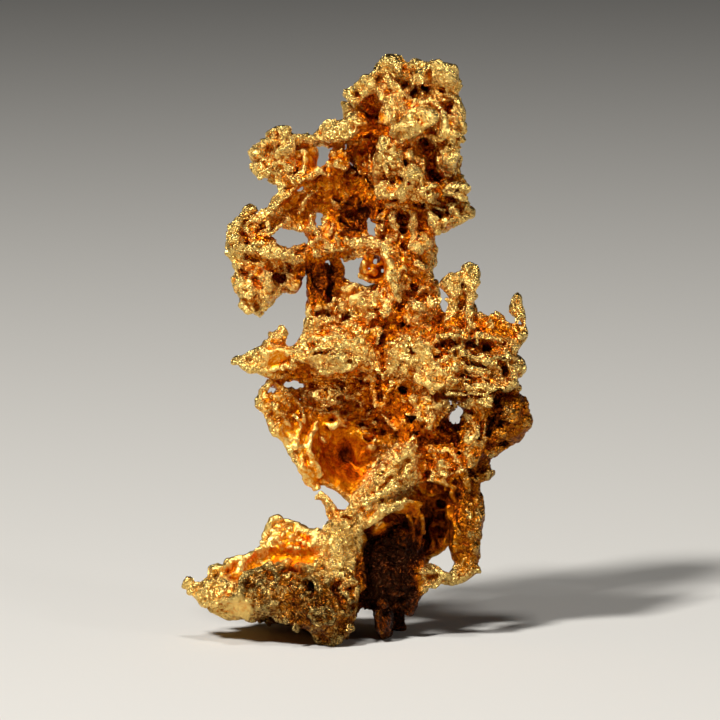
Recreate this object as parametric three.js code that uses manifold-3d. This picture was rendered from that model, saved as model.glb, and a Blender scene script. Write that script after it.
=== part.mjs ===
// Crystallized gold specimen: one free-standing piece of native gold, grown as crumpled leaves,
// rounded crystal knobs and thin stems that have run together round open gaps.
//
// Lengths are in millimetres. The piece is laid out in its display plane, x to the right, y up and
// z towards the viewer, and that plane then leans back by LEAN so that the row's +Z is up.
import * as THREE from "three";
import { ImprovedNoise } from "three/addons/math/ImprovedNoise.js";
import { LoftGeometry } from "three/addons/geometries/LoftGeometry.js";
import { TessellateModifier } from "three/addons/modifiers/TessellateModifier.js";
import { mergeVertices } from "three/addons/utils/BufferGeometryUtils.js";
import Module from "manifold-3d";

// Driving dimensions
const LEAN = THREE.MathUtils.degToRad(7);
const LEAF = 1.0; // thickness of a leaf of gold
const LEAF_EDGE = 3.13; // longest edge left in a leaf's faces
const FINE_EDGE = 2.57; // the same for a leaf that needs more shape
const CRUMPLE = 0.35; // how far a leaf's face wanders from its smooth bow
const CRUMPLE_SPAN = 2.6; // distance between two wrinkles of a leaf
const RIM_SHARE = 0.45; // share of a leaf's thickness that its rim keeps
const RIM_REACH = 0.8; // a leaf thins over this share of its thickness, measured from its rim
const RAGGED = 0.2; // how far a leaf's rim wanders sideways
const KNOB_ROUGH = 0.3; // share of a knob's radius that its surface wanders
const SMALL_KNOB = 1.25; // a knob under this radius has the twenty faces of a simple crystal
const LARGE_KNOB = 3.4; // a knob over this radius has finer faces
const STEM_ROUGH = 0.26; // share of a stem's radius that its surface wanders
const STEM_SIDES = 6;
const STEM_STEPS = 2; // sections to each stretch of a stem
const FACES = 9400; // triangles left once the joined piece is thinned
const EDGE_COST = 2e-4; // makes short edges close before long ones in flat places
const LEAST_TURN = 0.2; // cosine of the most that a face turns as an edge closes
const PASS_SHARE = 1 / 12; // most of the faces that one pass of the thinning takes away
const WELD = 1e-3; // vertices closer than this are one vertex
const OFF_GRID = 3.7e-4; // keeps a leaf's vertices off the steps that WELD rounds to
const SPLITS = 12; // the most times that a long side of a leaf's face is halved
const SLAB = { side: 80, deep: 20 }; // block that cuts the piece off level at its base

// Fineness of the noise that roughens each kind of solid, and the offsets that set its copies apart
const KNOB_NOISE = { fine: 1.9, apart: 3.1 };
const STEM_NOISE = { round: 0.9, along: 1.7 };
const RAGGED_NOISE = { fine: 0.9, across: 4.2, up: 9.6 };
const BACK_NOISE = 7.3;

const noise = new ImprovedNoise();
const wasm = await Module();
wasm.setup();

// ---------------------------------------------------------------------------------------------
// Solids

// A closed three.js geometry as a solid that can be joined and cut.
function solid(geometry) {
  const bare = new THREE.BufferGeometry();
  bare.setAttribute("position", geometry.getAttribute("position"));
  bare.setIndex(geometry.index);
  const merged = mergeVertices(bare, WELD);
  return new wasm.Manifold(
    new wasm.Mesh({
      numProp: 3,
      vertProperties: new Float32Array(merged.attributes.position.array),
      triVerts: new Uint32Array(merged.index.array),
    }),
  );
}

// Moves every vertex of a geometry to where the function puts it.
function reshape(geometry, move) {
  const position = geometry.attributes.position;
  const point = new THREE.Vector3();
  for (let i = 0; i < position.count; i += 1) {
    move(point.fromBufferAttribute(position, i));
    position.setXYZ(i, point.x, point.y, point.z);
  }
  return geometry;
}

// Knob of crystals [x, y, z, rx, ry, rz]: a faceted ball whose surface wanders in and out.
function knob([x, y, z, rx, ry, rz]) {
  const widest = Math.max(rx, ry, rz);
  const detail = widest < SMALL_KNOB ? 0 : widest > LARGE_KNOB ? 2 : 1;
  const ball = new THREE.IcosahedronGeometry(1, detail);
  const centre = new THREE.Vector3(x, y, z);
  reshape(ball, (p) => {
    const seen = centre.clone().multiplyScalar(KNOB_NOISE.apart).addScaledVector(p, KNOB_NOISE.fine);
    const wander = noise.noise(seen.x, seen.y, seen.z);
    p.multiplyScalar(1 + 2 * KNOB_ROUGH * wander);
    p.set(x + rx * p.x, y + ry * p.y, z + rz * p.z);
  });
  return solid(ball);
}

// Stem along a smooth line through its stations [x, y, z, radius], with rough round sections.
function stem(stations) {
  const path = new THREE.CatmullRomCurve3(stations.map(([x, y, z]) => new THREE.Vector3(x, y, z)));
  const rings = (stations.length - 1) * STEM_STEPS;
  const { normals, binormals } = path.computeFrenetFrames(rings);
  const sections = [];
  for (let i = 0; i <= rings; i += 1) {
    const at = i / STEM_STEPS;
    const from = Math.min(Math.floor(at), stations.length - 2);
    const radius = THREE.MathUtils.lerp(stations[from][3], stations[from + 1][3], at - from);
    const centre = path.getPoint(i / rings);
    const ring = [];
    for (let k = 0; k < STEM_SIDES; k += 1) {
      const turn = (2 * Math.PI * k) / STEM_SIDES;
      const point = new THREE.Vector3()
        .addScaledVector(normals[i], Math.cos(turn))
        .addScaledVector(binormals[i], Math.sin(turn));
      const seen = point
        .clone()
        .multiplyScalar(STEM_NOISE.round)
        .addScaledVector(centre, STEM_NOISE.along);
      const wander = noise.noise(seen.x, seen.y, seen.z);
      ring.push(point.multiplyScalar(radius * (1 + 2 * STEM_ROUGH * wander)).add(centre));
    }
    sections.push(ring);
  }
  return solid(new LoftGeometry(sections, { capStart: true, capEnd: true }));
}

// Depth of a leaf at (x, y): its bow points [x, y, z], the nearer the heavier.
function bowDepth(bow, x, y) {
  let total = 0;
  let depth = 0;
  for (const [bx, by, bz] of bow) {
    const weight = 1 / ((x - bx) ** 2 + (y - by) ** 2 + 0.5) ** 1.5;
    total += weight;
    depth += weight * bz;
  }
  return depth / total;
}

// Distance from a point to the nearest side of a set of closed outlines.
function rimDistance(rings, point) {
  const side = new THREE.Line3();
  const nearest = new THREE.Vector3();
  let least = Infinity;
  for (const ring of rings) {
    ring.forEach(([x, y], i) => {
      const [nextX, nextY] = ring[(i + 1) % ring.length];
      side.start.set(x, y, point.z);
      side.end.set(nextX, nextY, point.z);
      least = Math.min(least, side.closestPointToPoint(point, true, nearest).distanceTo(point));
    });
  }
  return least;
}

// Crumpled leaf of gold: an outline with holes, its front face bowed through the bow points. It
// thins towards its rims, and a thick one has a back that crumples by itself.
function leaf({ outline, holes = [], bow, thick = LEAF, edge = LEAF_EDGE, crumple = CRUMPLE }) {
  const flat = (ring) => ring.map(([x, y]) => new THREE.Vector2(x + OFF_GRID, y + OFF_GRID));
  const rim = flat(outline);
  if (THREE.ShapeUtils.isClockWise(rim)) rim.reverse();
  const shape = new THREE.Shape(rim);
  shape.holes = holes.map((ring) => new THREE.Path(flat(ring)));
  const plate = new THREE.ExtrudeGeometry(shape, { depth: thick, bevelEnabled: false });
  plate.deleteAttribute("normal");
  plate.deleteAttribute("uv");
  const fine = new TessellateModifier(edge, SPLITS).modify(plate);
  const seed = outline[0][0];
  const rings = [outline, ...holes];
  return reshape(fine, (p) => {
    const u = p.x / CRUMPLE_SPAN;
    const v = p.y / CRUMPLE_SPAN;
    const front = noise.noise(u, v, seed);
    const back = thick > 2 * LEAF ? noise.noise(u, v, seed + BACK_NOISE) : front;
    const wave = THREE.MathUtils.lerp(back, front, p.z / thick);
    const full = Math.min(1, RIM_SHARE + rimDistance(rings, p) / (RIM_REACH * thick));
    const fromFront = thick * (0.5 - 0.5 * full) + (thick - p.z) * full;
    const depth = bowDepth(bow, p.x, p.y);
    const { fine: step, across, up } = RAGGED_NOISE;
    p.x += 2 * RAGGED * noise.noise(step * p.x, step * p.y, across);
    p.y += 2 * RAGGED * noise.noise(step * p.x, step * p.y, up);
    p.z = depth - fromFront + 2 * crumple * wave;
  });
}

// Joins a list of solids.
function join(solids) {
  return solids.reduce((all, next) => all.add(next));
}

const knobs = (list) => list.map((entry) => knob(entry));
const leaves = (list) => list.map((entry) => solid(leaf(entry)));
const stems = (list) => list.map((entry) => stem(entry));

// ---------------------------------------------------------------------------------------------
// Regions, from the top down

// Crown: two forward clumps of knobs on a thick body, with a thin sheet behind its left side.
function crown() {
  return [
    ...leaves([
      {
        outline: [
          [-1.2, 54.7], [-0.2, 55.8], [1.6, 56.8], [2.6, 58.0], [3.4, 58.5], [4.6, 57.8], [6, 57.4],
          [8, 58.0], [9.5, 57.0], [10.2, 55.7], [9.7, 54.4], [10.5, 53.1], [10.3, 51.2],
          [10, 49.6], [9.8, 47.2], [10.6, 45.6], [10.9, 43.6], [10.7, 42.3], [9.0, 41.2],
          [8.4, 40.6], [7, 41.4], [4.8, 41.4], [2.6, 42.3], [2.0, 45], [1.9, 48], [2.3, 50],
          [2.3, 51.6], [1.2, 52.4], [0, 53.4],
        ],
        bow: [
          [3, 57, 0.4], [0.6, 55.2, 0], [5.6, 55, -0.4], [8, 56, 1.2], [3.2, 53, 2.0],
          [6.7, 52.4, 2.4], [9.6, 52, 0], [6, 50.2, 0.8], [3.4, 48, 1.8], [7.2, 46, 0.6],
          [9, 47.6, 1.4], [4, 45, 1.0], [6, 44, 1.8], [9.4, 44.6, 1.4], [8.5, 42, 0.6],
        ],
        thick: 4.2,
        crumple: 0.5,
        edge: FINE_EDGE,
      },
      {
        outline: [[-1.8, 50.6], [-0.9, 52.8], [-1.6, 54.6], [0.5, 56], [3, 55], [3, 48], [0, 48]],
        bow: [[-1.5, 53, -2.8], [3, 52, -2.4]],
      },
    ]),
    ...knobs([
      [3.3, 57.0, -0.2, 1.8, 1.5, 1.7],
      [0.9, 55.2, -0.6, 1.9, 1.2, 1.5],
      [5.5, 57.1, -0.4, 1.0, 1.0, 1.3],
      [8.0, 56.7, 0.6, 2.0, 1.4, 1.7],
      [9.2, 55.2, -0.2, 1.2, 1.5, 1.4],
      [6.6, 56.6, 1.0, 1.0, 1.1, 1.1],
      [3.6, 54.6, 2.3, 1.2, 0.8, 0.9],
      [2.8, 52.7, 3.0, 1.1, 1.1, 1.0],
      [6.7, 52.4, 3.0, 1.2, 1.2, 1.1],
      [4.6, 51.0, 2.6, 1.4, 1.2, 1.2],
      [8.6, 51.3, 1.8, 1.2, 1.4, 1.3],
      [9.9, 52.8, 0.0, 0.9, 1.0, 1.2],
      [9.8, 50.9, 0.2, 1.0, 0.9, 1.2],
      [3.2, 48.3, 2.3, 1.2, 1.7, 1.3],
      [5.3, 48.3, 2.7, 1.2, 1.0, 1.1],
      [8.7, 47.9, 1.9, 1.4, 1.3, 1.3],
      [9.1, 49.7, 0.8, 1.1, 1.0, 1.4],
      [3.6, 45.4, 2.0, 1.6, 1.5, 1.2],
      [6.0, 44.8, 2.5, 1.5, 1.2, 1.2],
      [9.4, 45.0, 1.8, 1.8, 1.0, 1.3],
      [10.1, 42.9, 0.6, 1.2, 1.3, 1.3],
      [9.0, 41.8, 0.2, 1.2, 0.9, 1.1],
      [7.8, 42.0, 1.2, 1.2, 1.3, 1.2],
    ]),
    // Lumps on the back.
    ...knobs([
      [3.0, 54.4, -3.6, 2.4, 2.4, 1.7],
      [7.2, 52.4, -3.2, 2.4, 2.6, 1.7],
      [4.8, 47.2, -3.4, 2.8, 2.6, 1.8],
      [8.4, 47.6, -2.6, 1.6, 2.0, 1.4],
      [7.2, 43.8, -2.6, 2.2, 1.8, 1.4],
    ]),
  ];
}

// Ledge that runs left from the crown, and the sheet behind the recess under it.
function ledge() {
  return [
    ...leaves([
      {
        outline: [
          [-4.8, 50.2], [-3.2, 51.9], [-1.9, 52.1], [0.6, 52.7], [1.4, 52.4], [0.8, 51.2],
          [-1, 50.1], [-2.8, 49.5], [-4.4, 49.6],
        ],
        bow: [[-4.4, 50.4, 1.0], [-2, 51, 1.8], [0.4, 52, 1.4]],
        thick: 2.2,
      },
      {
        outline: [
          [-4.6, 50.8], [-3.2, 51.8], [3, 52.6], [3, 50], [4, 44], [3, 40],
          [0, 40], [-3, 42], [-4.8, 45.6], [-3.9, 47.2], [-3.0, 47.6], [-3.1, 48.3], [-2.4, 49.3],
          [-4.4, 49.9],
        ],
        bow: [[-4.5, 50, 0], [0, 50, -2.2], [-4, 46, 0.6], [0, 46, -2.2], [3, 42, -2.0]],
      },
    ]),
    ...knobs([
      [-2.2, 47.9, 0.4, 1.2, 1.3, 1.0],
      [0.2, 48.4, -1.4, 1.0, 1.7, 1.1],
      [1.7, 46.6, 0.2, 1.0, 1.9, 1.1],
      [-1.0, 45.2, -1.2, 1.4, 1.2, 0.9],
    ]),
  ];
}

// Upper-left nodule and the diagonal sheet that hangs below it.
function shoulder() {
  return [
    ...knobs([
      [-9.8, 47.7, 0.2, 1.5, 1.7, 1.4],
      [-7.8, 49.4, 0.4, 1.7, 1.8, 1.5],
      [-5.9, 49.0, -0.3, 1.4, 1.5, 1.4],
      [-8.0, 47.2, 0.9, 1.8, 1.5, 1.3],
      [-5.6, 47.6, 0.2, 1.5, 1.9, 1.1],
      [-8.2, 48.2, -1.4, 2.2, 1.8, 1.6],
    ]),
    ...leaves([
      {
        outline: [
          [-4.0, 47.2], [-2, 47], [1, 46], [3, 43], [3, 38.6], [-0.2, 37.9], [-1.6, 37.8], [-4.2, 37.6],
          [-5.6, 38.4], [-5.0, 40.4], [-6.6, 41.4], [-9.8, 41.6], [-10.0, 42.8], [-8.8, 44.2],
          [-7.8, 45.2], [-8.8, 45.8], [-6.4, 47],
        ],
        holes: [
          [[-4.8, 43.1], [-4.2, 43.1], [-3.5, 42.2], [-3.8, 41.5], [-4.4, 42.1]],
          [[0.3, 41.9], [1.3, 41.9], [1.9, 40.5], [1.1, 40.2]],
        ],
        bow: [
          [-9.4, 42.6, 1.8], [-7.6, 44.8, 2.2], [-5, 46.4, 1.8], [-6, 43, 0.6], [-3, 44, -0.6],
          [-1, 42, -1.6], [2, 44, -1.0], [0, 38.6, 0.4], [-5, 39, 0.6],
        ],
        thick: 1.3,
      },
    ]),
  ];
}

// Left lobe: a thick ring of gold round an eye.
function lobe() {
  return [
    ...leaves([
      {
        outline: [
          [-12, 42.4], [-11.3, 43.4], [-10.8, 42.9], [-10.2, 42.4], [-9.4, 42.6], [-8, 42.4],
          [-6.5, 41.8], [-5.0, 41], [-4.4, 39.6], [-4.6, 37.6], [-5.6, 37.0], [-6, 36],
          [-6.3, 34.9], [-7, 34.4], [-7.9, 34.8], [-8.3, 34.1], [-9.2, 33.2], [-10.2, 32.6],
          [-11.3, 32.8], [-11.8, 33.8], [-12.4, 34.8], [-12.8, 35.8], [-12.5, 37.1],
          [-12.8, 37.6], [-13.3, 38.6], [-13.3, 40], [-12.8, 41.2],
        ],
        holes: [
          [
            [-8.6, 40.9], [-7.2, 41.3], [-6, 40.9], [-5.3, 40.4], [-5.2, 39.5], [-5.9, 39.6],
            [-6.7, 38.9], [-7.8, 39.2], [-8.7, 40],
          ],
          [[-8.3, 36.7], [-7.2, 36.5], [-7.7, 35.5]],
        ],
        bow: [[-12.6, 39, 1.4], [-9, 38.6, 2.2], [-6, 38, 1.2], [-11, 35, 1.8], [-7, 36, 1.2], [-9, 42, 1.4]],
        thick: 3.2,
        edge: FINE_EDGE,
      },
    ]),
    ...knobs([
      [-11.6, 41.2, 0.6, 1.5, 1.6, 1.3],
      [-12.0, 38.6, 0.6, 1.4, 1.5, 1.4],
      [-10.9, 35.4, 0.8, 1.7, 2.2, 1.4],
      [-8.6, 38.4, 1.7, 2.2, 0.8, 0.9],
      [-6.9, 36.6, 0.2, 1.3, 1.5, 1.3],
      [-9.6, 35.2, -1.4, 1.9, 1.9, 1.7],
      [-11.5, 39.6, -1.6, 1.6, 2.8, 1.6],
      [-7.2, 37.4, -1.4, 1.6, 1.2, 1.4],
    ]),
  ];
}

// Pillars each side of the window, the beam over it and the column under the crown.
function pillars() {
  return [
    ...stems([
      [[-4.4, 40.6, -0.6, 1.0], [-4.2, 37.4, -0.6, 1.0], [-4.2, 34.2, -0.4, 1.1], [-4.3, 30.8, 0, 1.5]],
      [[-4.6, 39.3, 0.3, 0.9], [-1.2, 39.3, 0.6, 0.7], [1.6, 39.1, 0.5, 1.0], [4, 38.6, 0.4, 1.4]],
      [[1.9, 38.6, -0.4, 0.5], [2.0, 37.2, -0.6, 0.4], [1.2, 36.4, -0.6, 0.5], [0.6, 37.2, -0.4, 0.4]],
    ]),
    ...leaves([
      {
        outline: [
          [2.4, 43], [8, 43], [7.4, 41.2], [7.5, 37.2], [7.0, 36.9], [7.4, 36], [8.0, 34.6],
          [8.4, 32], [8.2, 30.6], [2.6, 31], [1.4, 34.6], [2.2, 37], [2.0, 39],
        ],
        bow: [
          [5, 42.4, 1.0], [3, 40, 1.2], [7, 40, 1.2], [4, 36, 1.8], [7.4, 36, 0.8], [5.6, 34, 0.8],
          [8, 31.6, 1.2], [3, 33, 1.6],
        ],
        thick: 3.4,
        crumple: 0.5,
        edge: FINE_EDGE,
      },
      {
        outline: [[4.6, 37.4], [7.6, 37.2], [7.6, 35.6], [4.6, 35.4]],
        bow: [[6, 36, -2.4]],
      },
    ]),
    ...knobs([
      [3.0, 38.6, 1.2, 0.9, 1.6, 0.9],
      [3.7, 36.0, 2.0, 0.8, 2.2, 0.9],
      [6.0, 39.6, 1.2, 1.4, 1.4, 1.0],
      [4.6, 43.4, 0.8, 1.3, 1.2, 1.2],
    ]),
  ];
}

// Sponge of knobs and short folds below the window.
function sponge() {
  return [
    ...knobs([
      [-1.5, 33.9, 0, 1.2, 1.8, 1.2],
      [0.8, 33.2, 0.4, 1.7, 1.9, 1.4],
      [-3.6, 31.6, 0.2, 1.9, 1.5, 1.4],
      [2.8, 33.0, 0.9, 1.5, 2.2, 1.4],
      [5.6, 32.4, 1.0, 1.8, 1.7, 1.5],
      [-0.6, 31.1, 1.0, 2.2, 1.2, 1.3],
    ]),
    ...leaves([
      {
        outline: [
          [-5.7, 30.6], [-5.3, 33], [-5.1, 36], [-4, 38], [-2.6, 38.4], [-1.9, 36.6],
          [-1.0, 35.9], [-0.3, 34.8], [0.2, 35.5], [1.2, 35.8], [3, 36], [8, 36], [8.4, 28],
          [-5, 28],
        ],
        holes: [[[-4.3, 32.9], [-2.9, 33.1], [-3, 32.2], [-4.2, 32.1]]],
        bow: [[-4, 35, -0.8], [2, 34, -1.0], [-3, 29, 0.2], [6, 30, -1.0]],
      },
    ]),
  ];
}

// Two prongs that stand up from the right side.
function prongs() {
  return [
    ...leaves([
      {
        outline: [
          [9.0, 30], [8.9, 33.2], [8.6, 34.0], [8.8, 34.6], [8.5, 35.0], [8.1, 35.4], [8.8, 36.3],
          [9.6, 36.9], [10.2, 37.3], [11, 37.7], [11.6, 37.1], [11.9, 36], [11.6, 34.9],
          [11.4, 33.0], [11.8, 31], [11.6, 29],
        ],
        bow: [[9.4, 35, 1.8], [11.4, 35.6, 1.4], [10.2, 34, 1.0], [10.4, 31, 1.2]],
        thick: 2.4,
        edge: FINE_EDGE,
      },
      {
        outline: [
          [11.2, 33], [11.8, 32.8], [12.3, 31.8], [13, 32.2], [13.7, 32.8], [14.4, 32.3],
          [14.8, 32], [15.2, 32.3], [15.3, 33.6], [15.0, 34.3], [15.7, 34.7], [16.2, 34.3],
          [16.3, 32.8], [16.5, 31.5], [16.8, 30.5], [16.3, 29.8], [15.6, 29.1], [11.6, 28.6],
        ],
        bow: [[12, 32, 0.6], [14, 31, 0.9], [16, 33, 0.2], [13, 29, 0.8]],
        thick: 1.6,
        edge: FINE_EDGE,
      },
    ]),
    ...knobs([
      [9.6, 35.6, 1.0, 1.3, 1.2, 1.0],
      [10.9, 36.4, 0.6, 0.9, 1.2, 0.9],
      [16.0, 30.6, -0.2, 0.9, 1.0, 0.9],
    ]),
  ];
}

// Right mass: stacked lobes and ledges on the thickest part of the trunk.
function rightMass() {
  return [
    ...leaves([
      {
        outline: [
          [7.6, 32.0], [9, 32.8], [11.6, 32.0], [13.6, 32.0], [15.6, 31.3], [16.5, 30.4],
          [15.9, 29.6], [15.5, 29], [15.9, 27.8], [16.3, 27.1], [15.8, 26], [15.8, 25.4],
          [16.1, 24.3], [16.6, 23.7], [17, 22.4], [16.6, 21], [15.7, 19.9], [14.4, 19],
          [13.5, 18.2], [13, 17.7], [13.1, 16.5], [12.5, 15.9], [9, 15.6], [7, 17], [5.4, 20],
          [3, 22], [1.6, 26], [1.4, 30], [4, 31.6],
        ],
        holes: [[[9.1, 22.7], [10, 23.3], [10.4, 22.3], [9.7, 21.3], [8.8, 21.9]]],
        bow: [
          [9.6, 30.6, 1.4], [14, 30, 0.9], [15.4, 27, 0.4], [12.4, 27.2, 2.0], [8, 28.6, 2.6],
          [4, 29, 2.8], [2, 29, 2.6], [5.6, 25, 1.8], [8.2, 25.6, 2.4], [14.8, 23, 1.0],
          [12, 24, 1.6], [12, 20, 1.0], [9, 18, 1.4], [7, 22, 1.4],
        ],
        thick: 3.8,
        crumple: 0.6,
        edge: FINE_EDGE,
      },
    ]),
    ...knobs([
      [13.7, 29.4, 1.0, 2.0, 1.6, 1.4],
      [9.6, 29.6, 2.2, 2.4, 1.6, 1.3],
      [13.6, 26.8, 1.8, 2.3, 1.5, 1.5],
      [8.0, 26.6, 2.6, 2.3, 1.8, 1.5],
      [15.0, 23.2, 0.6, 2.0, 2.1, 1.8],
      [14.0, 21.0, 0.4, 2.0, 1.8, 1.6],
      [12.2, 23.8, 2.0, 1.6, 1.4, 1.3],
      [6.9, 23.0, 2.0, 1.6, 2.2, 1.3],
      [11.4, 19.4, 1.0, 1.6, 2.4, 1.4],
      [4.8, 28.6, 2.8, 2.4, 1.6, 1.3],
    ]),
    ...stems([
      [[9.4, 25.6, 2.6, 0.5], [11.0, 25.2, 3.0, 0.6], [12.8, 25.6, 3.0, 0.6], [14.8, 25.0, 2.0, 0.5]],
      [[10.6, 27.9, 2.4, 0.5], [12.4, 28.2, 3.0, 0.6], [14.6, 28.0, 2.0, 0.6]],
    ]),
    // Lumps and a fin on the back.
    ...knobs([
      [11.4, 27.2, -2.4, 2.8, 2.6, 1.8],
      [5.4, 26.6, -3.2, 3.2, 3.2, 2.4],
      [12.6, 21.8, -1.8, 2.2, 2.2, 1.4],
      [6.6, 21.0, -3.0, 2.8, 2.8, 2.2],
    ]),
  ];
}

// Spur: a blade that starts at a point on the left and runs into the trunk.
function spur() {
  return [
    ...leaves([
      {
        outline: [
          [-12.7, 28.1], [-11.7, 28.7], [-10.2, 29.1], [-9.5, 29.9], [-8.4, 30.7], [-7.8, 31.5],
          [-7.1, 30.5], [-7.6, 29.5], [-6.7, 29.5], [-6, 30.3], [-5.4, 31.1], [-2, 31.2],
          [2, 31], [2, 26.4], [-1.4, 26.0], [-4.2, 26.4], [-6.6, 26.8], [-9.4, 26.0],
          [-11.2, 27.0],
        ],
        bow: [
          [-12.7, 28.1, 1.2], [-9, 28.4, 2.4], [-6, 28.8, 3.2], [-2, 28.8, 3.6], [1, 28.8, 3.2],
          [-8, 31, 1.2], [-5, 31, 1.6], [-6, 26.8, 1.0], [-1, 26.4, 1.2],
        ],
        thick: 2.4,
        edge: FINE_EDGE,
      },
    ]),
    ...knobs([
      [-2.6, 28.3, 2.4, 2.8, 1.4, 1.4],
      [-6.8, 28.6, 1.6, 2.2, 1.0, 1.2],
      [-2.0, 28.6, -0.6, 3.6, 2.0, 1.8],
    ]),
  ];
}

// Lower leaf: a broad hollow bowl with a ragged left edge.
function bowl() {
  return [
    ...leaves([
      {
        outline: [
          [-9.3, 26.2], [-9.4, 24.6], [-10.4, 24.2], [-10.0, 23], [-9.4, 22.1], [-8.9, 20.9],
          [-7.9, 20.5], [-7.1, 19.3], [-7.1, 18.2], [-6.0, 17.5], [-5.7, 16.8], [-5.9, 16.0],
          [-5.3, 15.2], [-4.6, 14.9], [-3.4, 15.4], [-2.4, 14.9], [-1.6, 13.6], [0, 12.6], [3, 13],
          [7, 17], [7, 27], [3, 29], [-5, 28.5],
        ],
        holes: [[[-7.6, 25.8], [-6.4, 25.5], [-5.1, 25.8], [-5.7, 24.9], [-6.8, 24.8]]],
        bow: [
          [-9.6, 24, 1.2], [-7.6, 20.6, 1.2], [-5.4, 16.4, 1.0], [-2, 18.6, -3.4], [-4.6, 23, -1.6],
          [0, 23.6, -2.6], [1, 16.6, -2.2], [-1, 14, -0.2], [5, 22, -1.4], [-4, 27, 0.6],
        ],
        thick: 1.4,
        crumple: 0.5,
        edge: FINE_EDGE,
      },
    ]),
    ...knobs([
      [0.2, 25.4, -1.2, 1.9, 1.6, 1.4],
      [-3.6, 24.9, -0.4, 1.5, 1.2, 1.0],
      [2.8, 24.2, -0.6, 1.6, 2.2, 1.6],
      [-2.2, 22.4, -2.0, 1.2, 1.0, 0.9],
      [-2.0, 18.6, -4.6, 3.2, 2.6, 1.2],
    ]),
  ];
}

// Folds that run from the right mass down to the foot, and the tendril beside them.
function folds() {
  return [
    ...leaves([
      {
        outline: [
          [5.6, 20.8], [6.8, 18.8], [6.4, 16.6], [4.6, 14.8], [2.6, 13.8], [1.2, 12.8],
          [0.2, 11.8], [-0.6, 11], [-1.8, 11.4], [-1.4, 12.6], [-0.8, 14], [0.2, 15.4],
          [1.6, 17.0], [3.2, 19.2], [4.2, 20.8],
        ],
        bow: [
          [5, 18.6, 2.6], [3, 16.2, 3.8], [0.8, 13.6, 3.2], [-1, 12, 2.6], [1.4, 17, 0.8],
          [5, 20.6, 1.6], [6.6, 17, 1.4],
        ],
        thick: 3.0,
        edge: FINE_EDGE,
      },
      {
        outline: [
          [-3.8, 11.2], [-2.6, 12.8], [-1.6, 12.8], [-0.4, 12.2], [0.2, 10.6], [0, 8.4],
          [-0.4, 6.6], [-3.4, 6.4], [-3.8, 8.4], [-4.0, 10],
        ],
        bow: [[-2.4, 10.4, 3.0], [-1, 8, 3.2], [-3.6, 9, 1.8], [0, 10, 2.0]],
        thick: 2.6,
      },
      {
        outline: [[6.2, 21], [10.6, 21], [10.4, 17.4], [8.8, 14.8], [6.4, 14.4], [5.0, 16.6]],
        bow: [[7, 19, 1.8], [9.6, 19, 1.4], [7.4, 15.4, 1.2]],
        thick: 2.6,
      },
    ]),
    ...stems([
      [[-4.2, 14.4, 0.6, 0.4], [-3.4, 13.9, 0.8, 0.55], [-2.7, 12.8, 1.2, 0.7], [-2.3, 11.4, 1.4, 1.0]],
      [[-0.6, 10.8, 2.4, 0.7], [0.4, 12.4, 2.8, 0.7], [2.4, 13.5, 2.8, 0.7], [5.2, 13.3, 2.2, 0.7],
        [6.4, 12.2, 1.2, 0.6]],
    ]),
  ];
}

// Block under the folds, the cave beside it and the outer column.
function stand() {
  return [
    ...leaves([
      {
        outline: [
          [-0.4, 11.0], [0.6, 12.4], [2, 13.4], [3.5, 13.8], [5.2, 13.2], [6.2, 11.4], [6.4, 8],
          [6.2, 5], [5.7, 3.4], [5, 2.4], [3.6, 3.2], [1.8, 2.8], [0.2, 3.5], [-0.4, 6],
        ],
        bow: [[3, 12, 1.4], [1, 8, 1.6], [5, 8, 1.0], [3, 4, 1.4]],
        thick: 4.6,
        crumple: 0.4,
      },
      {
        outline: [
          [9.2, 18], [12.6, 17.4], [12.1, 15.6], [12.1, 14.3], [12.3, 12.5], [12.2, 10.5],
          [12, 8.5], [11.8, 7.3], [10.8, 6], [9.2, 5.4], [8, 5.7], [6.6, 5.0], [5.4, 4.2],
          [5.2, 6.6], [7, 7.5], [8.0, 7.3], [9, 6.3], [9.7, 7.8], [8.9, 9.2], [8.9, 12],
          [8.8, 15],
        ],
        bow: [[11, 16, 0.8], [12, 10, 1.0], [9.4, 6, 1.2], [6, 5.4, 0.8], [9.4, 12, 1.4]],
        thick: 2.6,
      },
      {
        outline: [
          [3, 15], [5, 16.2], [8, 16.6], [11, 16], [11, 9.5], [9.4, 9.2], [8.7, 9.2], [8.2, 8.2],
          [6.9, 7.8], [6.4, 5.2], [3, 5],
        ],
        bow: [[3, 12, -3.0], [8, 12, -4.0], [11, 12, -1.8], [6, 6, -1.8]],
      },
    ]),
    // The blade under the block and the toe behind it, two of the feet.
    ...knobs([[2.4, 1.9, -1.6, 0.85, 2.9, 4.2]]),
    ...stems([
      [[2.8, 8.0, -3.2, 1.5], [3.4, 4.4, -4.6, 1.3], [3.8, 1.6, -5.6, 1.1], [4.0, -0.6, -6.2, 0.9]],
    ]),
  ];
}

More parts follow.
